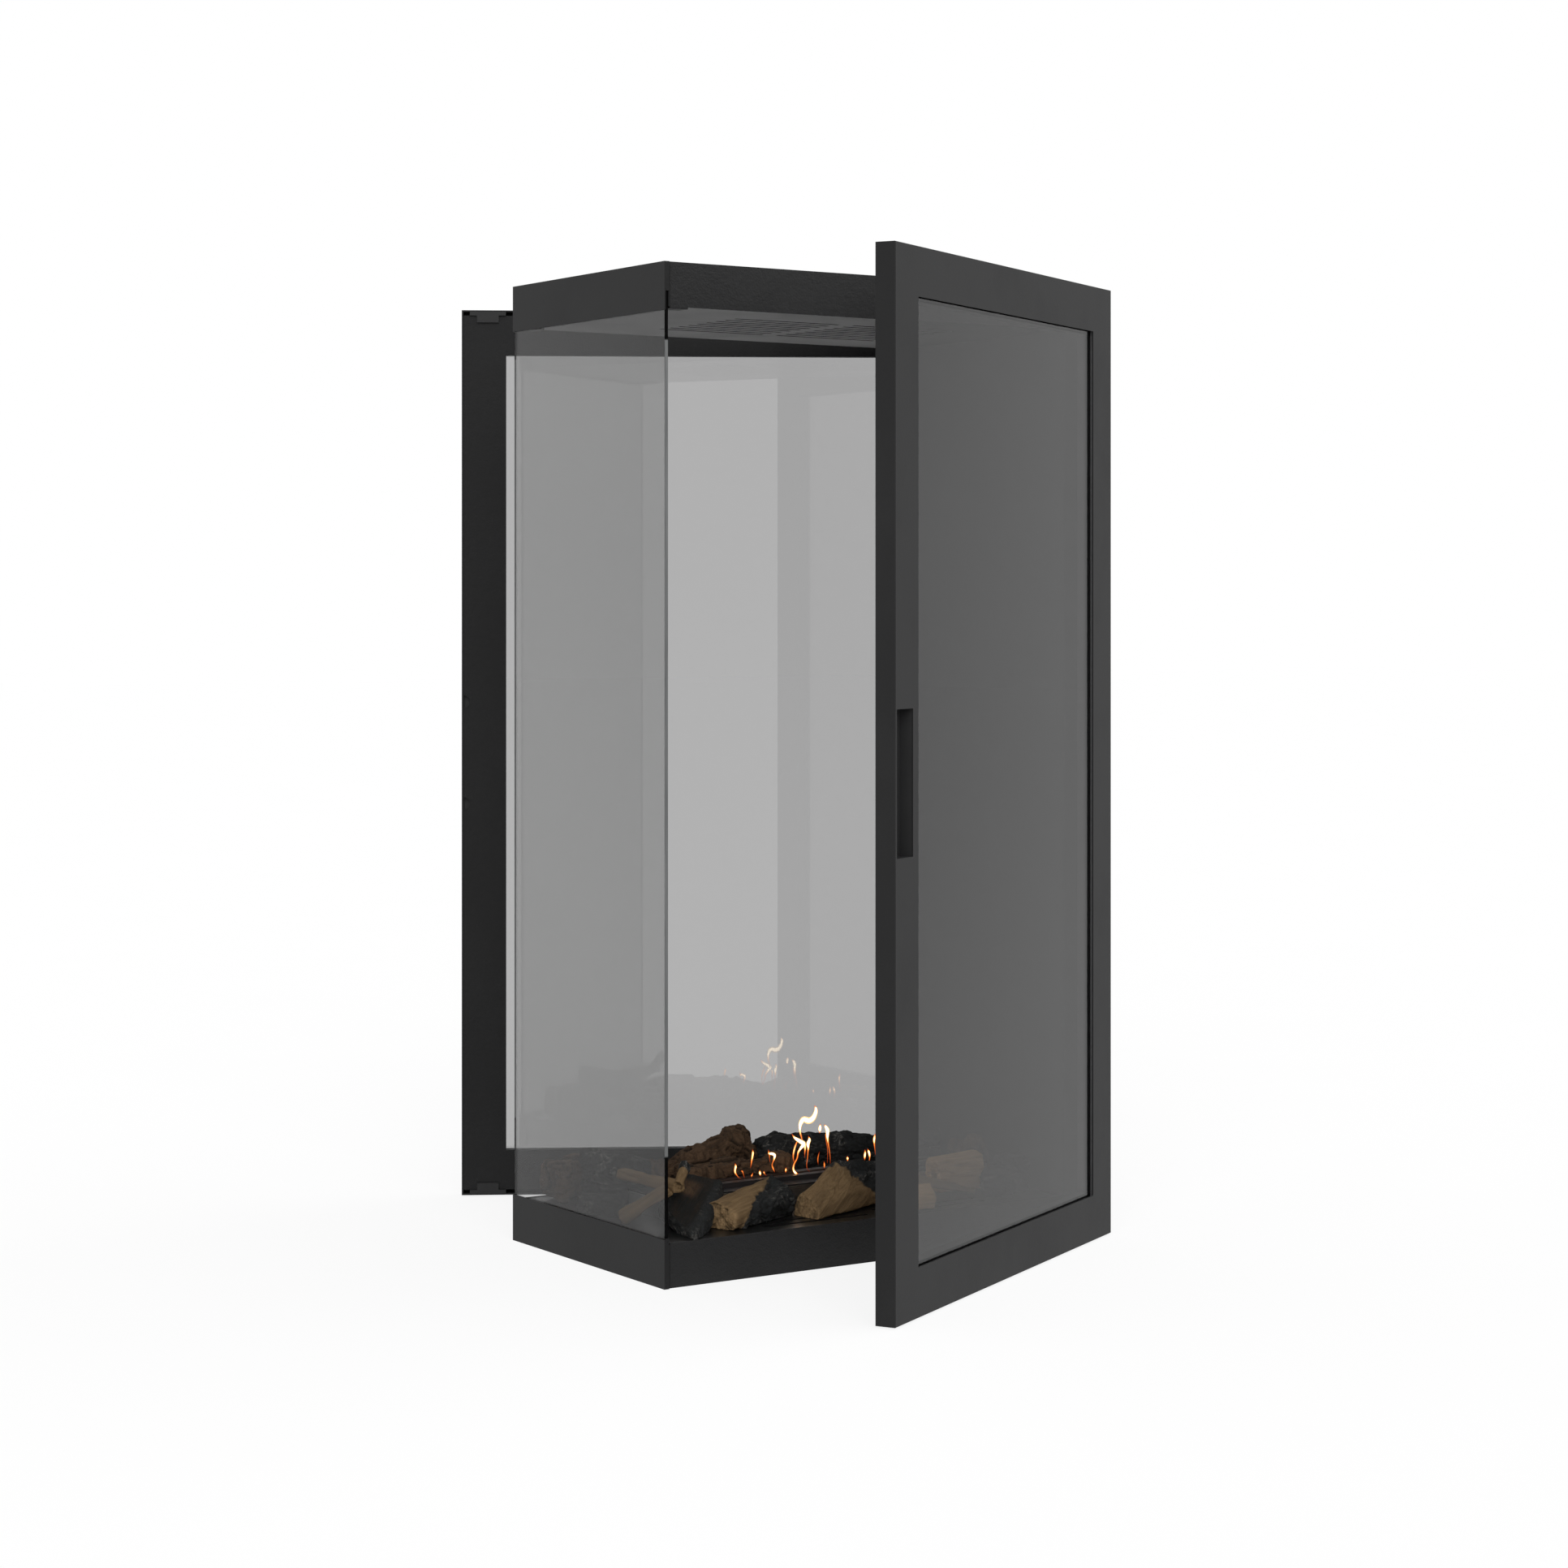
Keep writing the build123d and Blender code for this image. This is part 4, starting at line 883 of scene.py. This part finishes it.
class CoatSettings(PropertyGroup):
    """The powder coat on the sheet steel."""

    colour: FloatVectorProperty(name="Coat", description="Colour of the powder coat", subtype="COLOR",
                                default=(0.016, 0.016, 0.0163), min=0, max=1)
    grain_size: FloatProperty(name="Grain", description="Width of one grain of the coat", unit="LENGTH",
                              default=0.0009, min=0.0001)
    grain_depth: FloatProperty(name="Grain depth", description="Height of the coat's grain", unit="LENGTH",
                               default=0.00006, min=0, precision=6)
    leather_size: FloatProperty(name="Leather", description="Width of one grain on the bands and inner panels",
                                unit="LENGTH", default=0.002, min=0.0001)
    leather_depth: FloatProperty(name="Leather depth", description="Height of the grain on the bands and panels",
                                 unit="LENGTH", default=0.0004, min=0, precision=6)


class GlassSettings(PropertyGroup):
    """The panes."""

    side_tint: FloatVectorProperty(name="Side glass", description="What the fixed side pane lets through",
                                   subtype="COLOR", default=(0.57, 0.57, 0.57), min=0, max=1)
    door_tint: FloatVectorProperty(name="Door glass", description="What the doors' panes let through",
                                   subtype="COLOR", default=(0.41, 0.41, 0.41), min=0, max=1)
    side_shine: FloatProperty(name="Side shine", description="Strength of reflections in the side and front panes",
                              subtype="FACTOR", default=0.1, min=0, max=1)
    bend: FloatProperty(name="Refraction", description="Refractive index of the side and front panes",
                        default=1.36, min=1)
    back_bend: FloatProperty(name="Back refraction", description="Refractive index of the back pane", default=1.6,
                             min=1)


class WoodSettings(PropertyGroup):
    """The cast ceramic wood."""

    tan: FloatVectorProperty(name="Split wood", description="Pale fibres of split wood", subtype="COLOR",
                             default=(0.235, 0.155, 0.08), min=0, max=1)
    tan_shade: FloatVectorProperty(name="Split wood shade", description="Dark fibres of split wood",
                                   subtype="COLOR", default=(0.12, 0.075, 0.036), min=0, max=1)
    # Painted light: the split wood at the right end, which lies in shade, is painted this many times paler
    pale: FloatProperty(name="Split wood painted light", description="How much paler the split wood at the right end is",
                        default=2.2, min=0.5, max=3)
    bark: FloatVectorProperty(name="Bark", description="Raised bark", subtype="COLOR",
                              default=(0.128, 0.078, 0.046), min=0, max=1)
    bark_shade: FloatVectorProperty(name="Bark shade", description="Bark in the furrows", subtype="COLOR",
                                    default=(0.046, 0.028, 0.0165), min=0, max=1)
    charcoal: FloatVectorProperty(name="Charcoal", description="Burnt wood", subtype="COLOR",
                                  default=(0.019, 0.02, 0.02), min=0, max=1)
    ash: FloatVectorProperty(name="Ash", description="Pale ash along the cracks", subtype="COLOR",
                             default=(0.22, 0.21, 0.19), min=0, max=1)
    mesh_step: FloatProperty(name="Mesh step", description="Distance between the points of the surface",
                             unit="LENGTH", default=0.0009, min=0.0006, precision=5)


class FlameSettings(PropertyGroup):
    """The flames."""

    fullness: FloatProperty(name="Fullness", description="Width of the outer flame, as a share of the drawn one",
                            subtype="FACTOR", default=0.75, min=0.5, max=2)
    core: FloatProperty(name="Core", description="Width of the bright core, as a share of the drawn flame",
                        subtype="FACTOR", default=0.43, min=0.2, max=1)
    power: FloatProperty(name="Brightness", description="Brightness of the core", default=16.0, min=0)


SETTINGS = {
    "fireplace_stage": StageSettings,
    "fireplace_coat": CoatSettings,
    "fireplace_glass": GlassSettings,
    "fireplace_wood": WoodSettings,
    "fireplace_flames": FlameSettings,
}


# Operators

class FIREPLACE_OT_stage(Operator):
    """Set up the floor, the room light, the lamps and the camera"""

    bl_idname = "fireplace.stage"
    bl_label = "Stage"

    def execute(self, context):
        scene, settings = context.scene, context.scene.fireplace_stage
        self.make_room(scene, settings)
        self.make_floor(scene, settings)
        for name, strength, turn, width in LAMPS:
            lamp = bpy.data.lights.new(name, "SUN")
            lamp.energy = getattr(settings, strength)
            lamp.angle = width
            self.put(scene, name, lamp, turn)
        camera = bpy.data.cameras.new("camera")
        for name, value in CAMERA_LENS.items():
            setattr(camera, name, value)
        scene.camera = self.put(scene, "camera", camera, CAMERA_TURN)
        scene.camera.location = CAMERA_PLACE
        scene.view_settings.view_transform = "Standard"
        return {"FINISHED"}

    def put(self, scene, name, data, turn):
        """A lamp or camera in the scene, turned by angles in degrees."""
        placed = bpy.data.objects.new(name, data)
        placed.rotation_euler = Euler(np.radians(turn))
        scene.collection.objects.link(placed)
        return placed

    def seen(self, tree):
        """1 for a ray from the camera, a reflection or glass."""
        ray = add(tree, "LightPath").outputs
        either = math(tree, "MAXIMUM", ray["Is Camera Ray"], ray["Is Glossy Ray"])
        return math(tree, "MAXIMUM", either, ray["Is Transmission Ray"])

    def make_room(self, scene, settings):
        """White to the camera, reflections and glass, and a plain grey light on everything else."""
        world = bpy.data.worlds.new("room")
        world.use_nodes = True
        tree = world.node_tree
        tree.nodes.clear()
        grey = (settings.room_light,) * 3
        sky = add(tree, "Background", {"Color": colour_mix(tree, self.seen(tree), grey, WHITE)})
        add(tree, "OutputWorld", {"Surface": sky.outputs[0]})
        scene.world = world

    def make_floor(self, scene, settings):
        """A flat square, pale enough to meet the white room, that keeps a soft shadow."""
        half = settings.floor_width / 2
        corners = half * np.array(((-1, -1, 0), (1, -1, 0), (1, 1, 0), (-1, 1, 0)), float)
        mesh = bpy.data.meshes.new("floor")
        mesh.from_pydata(corners, [], [(0, 1, 2, 3)])
        material, tree, shader = new_finish("pale floor", {"Roughness": 0.9, "Specular IOR Level": 0.0})
        clouds = evened(tree, noise(tree, object_place(tree), 3.0, 2.0))
        dark, light = (opaque(settings.floor_colour, factor) for factor in (0.99, 1.01))
        feed(tree, shader, {"Base Color": colour_mix(tree, clouds, dark, light)})
        white = add(tree, "Emission", {"Color": opaque(WHITE), "Strength": 1.0})
        mix_in(tree, shader, math(tree, "MULTIPLY", self.seen(tree), FLOOR_WHITE), white)
        mesh.materials.append(material)
        floor = bpy.data.objects.new("floor", mesh)
        scene.collection.objects.link(floor)


class FIREPLACE_OT_sheet_steel(Operator):
    """Finish the powder-coated cabinet and doors and their blackened screws"""

    bl_idname = "fireplace.sheet_steel"
    bl_label = "Sheet steel"

    def execute(self, context):
        settings = context.scene.fireplace_coat
        fine, wide = settings.grain_size, settings.leather_size
        bands = ("front_header", "back_header", "front_plinth", "back_plinth")
        # Finish, share of the coat's colour, grain size, roughness, grain depth, specular level, words in node names
        coats = (
            ("anthracite powder coat", 1, fine, (0.48, 0.6), settings.grain_depth, 0.13, ()),
            ("textured powder coat", 1, wide, (0.44, 0.6), settings.leather_depth, 0.2, bands),
            # The inner panels take 0.86 of the coat's colour: painted shade on the doors' inner faces
            ("inner panel coat", 0.86, wide, (0.46, 0.6), settings.leather_depth / 2, 0.09, ("inner_panel",)),
            ("striker coat", 1, fine, (0.4, 0.5), SATIN_DEPTH, 0.17, ("strikers",)),
            # The grip cup's coat is painted 1.6 times paler: painted light in the shaded cup
            ("grip coat", 1.6, fine, (0.5, 0.6), SATIN_DEPTH, 0.13, ("grip_cup",)),
            # The hearth plate's coat is painted at 0.45 of the coat's colour: painted shade on the firebox floor
            # among the logs
            ("satin hearth plate", 0.45, SATIN_GRAIN, (0.3, 0.4), SATIN_DEPTH, 0.2, ("hearth_plate",)),
        )
        for name, factor, size, shine, depth, level, words in coats:
            finish = coat_finish(name, opaque(settings.colour, factor), size, shine, depth, level)
            coat_nodes("powder_coat", finish, *words)
        ceiling = slotted_finish("satin ceiling plate", settings.colour, (0.34, 0.42), 0.2)
        coat_nodes("powder_coat", ceiling, "ceiling_louvre")
        screws = coat_finish("blackened screws", opaque(settings.colour, 0.7), 0.0005, (0.3, 0.5), SATIN_DEPTH, 0.4)
        coat_nodes("black_screws", screws)
        return {"FINISHED"}


class FIREPLACE_OT_hardware(Operator):
    """Finish the hinges, their bushes and pins, and the catch magnets"""

    bl_idname = "fireplace.hardware"
    bl_label = "Hardware"

    def execute(self, context):
        coat_nodes("zinc_steel", brushed_finish("zinc-plated steel", (0.36, 0.37, 0.39), (0.55, 0.56, 0.58),
                                                (160.0, 160.0, 160.0), (0.28, 0.46), 0.00001))
        coat_nodes("magnet", brushed_finish("nickel-plated magnet", (0.4, 0.39, 0.37), (0.52, 0.51, 0.48),
                                            (400.0, 400.0, 40.0), (0.2, 0.32), 0.00001))
        coat_nodes("bronze", turned_finish())
        return {"FINISHED"}


class FIREPLACE_OT_burner(Operator):
    """Finish the burner's tank, top plate, snuffer and wool"""

    bl_idname = "fireplace.burner"
    bl_label = "Burner"

    def execute(self, context):
        coat_nodes("burner_black", burner_finish((0.014, 0.0142, 0.0148), HEAT_BANDS))
        coat_nodes("stainless", brushed_finish("brushed stainless steel", (0.42, 0.42, 0.41), (0.6, 0.6, 0.59),
                                               (18.0, 900.0, 900.0), (0.24, 0.4), 0.00003))
        knob = brushed_finish("heat-darkened knob", (0.02, 0.02, 0.02), (0.035, 0.034, 0.033),
                              (200.0, 200.0, 900.0), (0.4, 0.55), SATIN_DEPTH)
        coat_nodes("stainless", knob, "snuffer_knob")
        wool = toned_finish("ceramic wool", fibre_group(), {"Woven": 0.0, "Hair Size": 0.003},
                            (0.62, 0.61, 0.58), (0.86, 0.85, 0.82), (0.95, 1.0), 0.0012)
        coat_nodes("ceramic_wool", wool)
        return {"FINISHED"}


class FIREPLACE_OT_seals(Operator):
    """Finish the graphite tape round the panes and the insulation in the wall"""

    bl_idname = "fireplace.seals"
    bl_label = "Seals"

    def execute(self, context):
        tape = toned_finish("woven graphite tape", fibre_group(), {"Pitch": 0.0012},
                            (0.03, 0.03, 0.031), (0.065, 0.065, 0.067), (0.6, 0.8), 0.0003)
        coat_nodes("graphite_tape", tape)
        board = toned_finish("insulation board", fibre_group(), {"Woven": 0.0, "Hair Size": 0.006},
                             (0.6, 0.57, 0.5), (0.76, 0.73, 0.66), (0.9, 1.0), 0.0006)
        coat_nodes("insulation", board)
        return {"FINISHED"}


class FIREPLACE_OT_glass(Operator):
    """Finish the fixed side pane and the doors' panes, and lay the side pane's ground edges"""

    bl_idname = "fireplace.glass"
    bl_label = "Glass"

    def execute(self, context):
        settings = context.scene.fireplace_glass
        panes = (
            ("side pane", settings.side_tint, settings.bend, settings.side_shine, "side"),
            ("front door pane", settings.door_tint, settings.bend, settings.side_shine, "front"),
            ("back door pane", settings.door_tint, settings.back_bend, 1.0, "back"),
        )
        for name, tint, bend, shine, word in panes:
            coat_nodes("glass", pane_finish(name, tint, bend, shine), word)
        low, high = (np.array(corner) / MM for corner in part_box("side_glass"))
        edges = joined([edge_strip(low, high, side) for side in (-1, 1)])
        strip = put_piece("side_pane_edges", edges, ground_edge_finish(), "cabinet")
        strip.data.shade_flat()
        return {"FINISHED"}


class FIREPLACE_OT_bark_logs(Operator):
    """Lay the logs with bark"""

    bl_idname = "fireplace.bark_logs"
    bl_label = "Bark logs"

    def execute(self, context):
        settings = context.scene.fireplace_wood
        finish = wood_finish("cast bark", settings, settings.bark, settings.bark_shade,
                             (0.5, 1.0, 1.0), 0.0022, 0.002)
        lay_logs(BARK_LOGS, lambda node: (bark_relief, finish), 11, settings)
        return {"FINISHED"}


class FIREPLACE_OT_charred_logs(Operator):
    """Lay the charred logs and chips"""

    bl_idname = "fireplace.charred_logs"
    bl_label = "Charred logs"

    def execute(self, context):
        settings = context.scene.fireplace_wood
        finish = wood_finish("cast charcoal", settings, settings.bark, settings.bark_shade,
                             (0.4, 1.0, 1.0), 0.0018, 0.0012)

        def choose(node):
            return slab_relief if node == "log_charred_slab" else char_relief, finish

        lay_logs(CHARRED_LOGS, choose, 211, settings)
        return {"FINISHED"}


class FIREPLACE_OT_split_logs(Operator):
    """Lay the split logs, two of them burnt at one end"""

    bl_idname = "fireplace.split_logs"
    bl_label = "Split logs"

    def execute(self, context):
        settings = context.scene.fireplace_wood
        burns = {
            "log_split_front": burn(split_relief, 0.576, 1.0, -0.0163, -0.008),
            "log_split_centre": burn(split_relief, 0.56, 1.0, 0.003, 0.006),
        }
        finish = split_wood_finish("cast split wood", settings)
        # Painted light: the tan logs at the right end get split wood painted paler by the pale setting
        pale = split_wood_finish("cast pale wood", settings, settings.pale)

        def choose(node):
            return burns.get(node, split_relief), pale if node.startswith("log_tan") else finish

        lay_logs(SPLIT_LOGS, choose, 401, settings)
        return {"FINISHED"}


class FIREPLACE_OT_twigs(Operator):
    """Lay the forked twig and the loose stick"""

    bl_idname = "fireplace.twigs"
    bl_label = "Twigs"

    def execute(self, context):
        settings = context.scene.fireplace_wood
        reliefs = [split_relief] * 3 + [burn(split_relief, 0.7, 1.0, 0.0, 0.0), split_relief]
        finish = split_wood_finish("cast split wood", settings)
        lay_wood("twigs", TWIGS, reliefs, finish, 601, settings, fineness=0.8, corner=5.0)
        return {"FINISHED"}


class FIREPLACE_OT_flames(Operator):
    """Light the flames on the burner's slot"""

    bl_idname = "fireplace.flames"
    bl_label = "Flames"

    def execute(self, context):
        settings = context.scene.fireplace_flames
        layers = (
            ("flame_edges", settings.fullness, flame_finish("flame edge", EDGE_GLOW, (0.12, 0.7), 1.3)),
            ("flame_cores", settings.core, flame_finish("flame core", CORE_GLOW, (0.3, 1.0), settings.power)),
        )
        for name, fullness, finish in layers:
            put_piece(name, joined([flame_surface(flame, fullness) for flame in FLAMES]), finish, "cabinet")
        return {"FINISHED"}


OPERATORS = (
    FIREPLACE_OT_stage, FIREPLACE_OT_sheet_steel, FIREPLACE_OT_hardware, FIREPLACE_OT_burner, FIREPLACE_OT_seals,
    FIREPLACE_OT_glass, FIREPLACE_OT_bark_logs, FIREPLACE_OT_charred_logs, FIREPLACE_OT_split_logs,
    FIREPLACE_OT_twigs, FIREPLACE_OT_flames,
)


class FIREPLACE_PT_sidebar(Panel):
    """The fireplace's settings and its pieces"""

    bl_idname = "FIREPLACE_PT_sidebar"
    bl_label = "Ethanol Fireplace"
    bl_space_type = "VIEW_3D"
    bl_region_type = "UI"
    bl_category = "Fireplace"

    def draw(self, context):
        for place, kind in SETTINGS.items():
            box = self.layout.box()
            for name in kind.__annotations__:
                box.prop(getattr(context.scene, place), name)
        for operator in OPERATORS:
            self.layout.operator(operator.bl_idname)


CLASSES = (*SETTINGS.values(), *OPERATORS, FIREPLACE_PT_sidebar)


def register():
    for kind in CLASSES:
        bpy.utils.register_class(kind)
    for place, kind in SETTINGS.items():
        setattr(bpy.types.Scene, place, PointerProperty(type=kind))


def unregister():
    for place in SETTINGS:
        delattr(bpy.types.Scene, place)
    for kind in reversed(CLASSES):
        bpy.utils.unregister_class(kind)


def main():
    register()
    for operator in OPERATORS:
        family, action = operator.bl_idname.split(".")
        getattr(getattr(bpy.ops, family), action)()


if __name__ == "__main__":
    main()
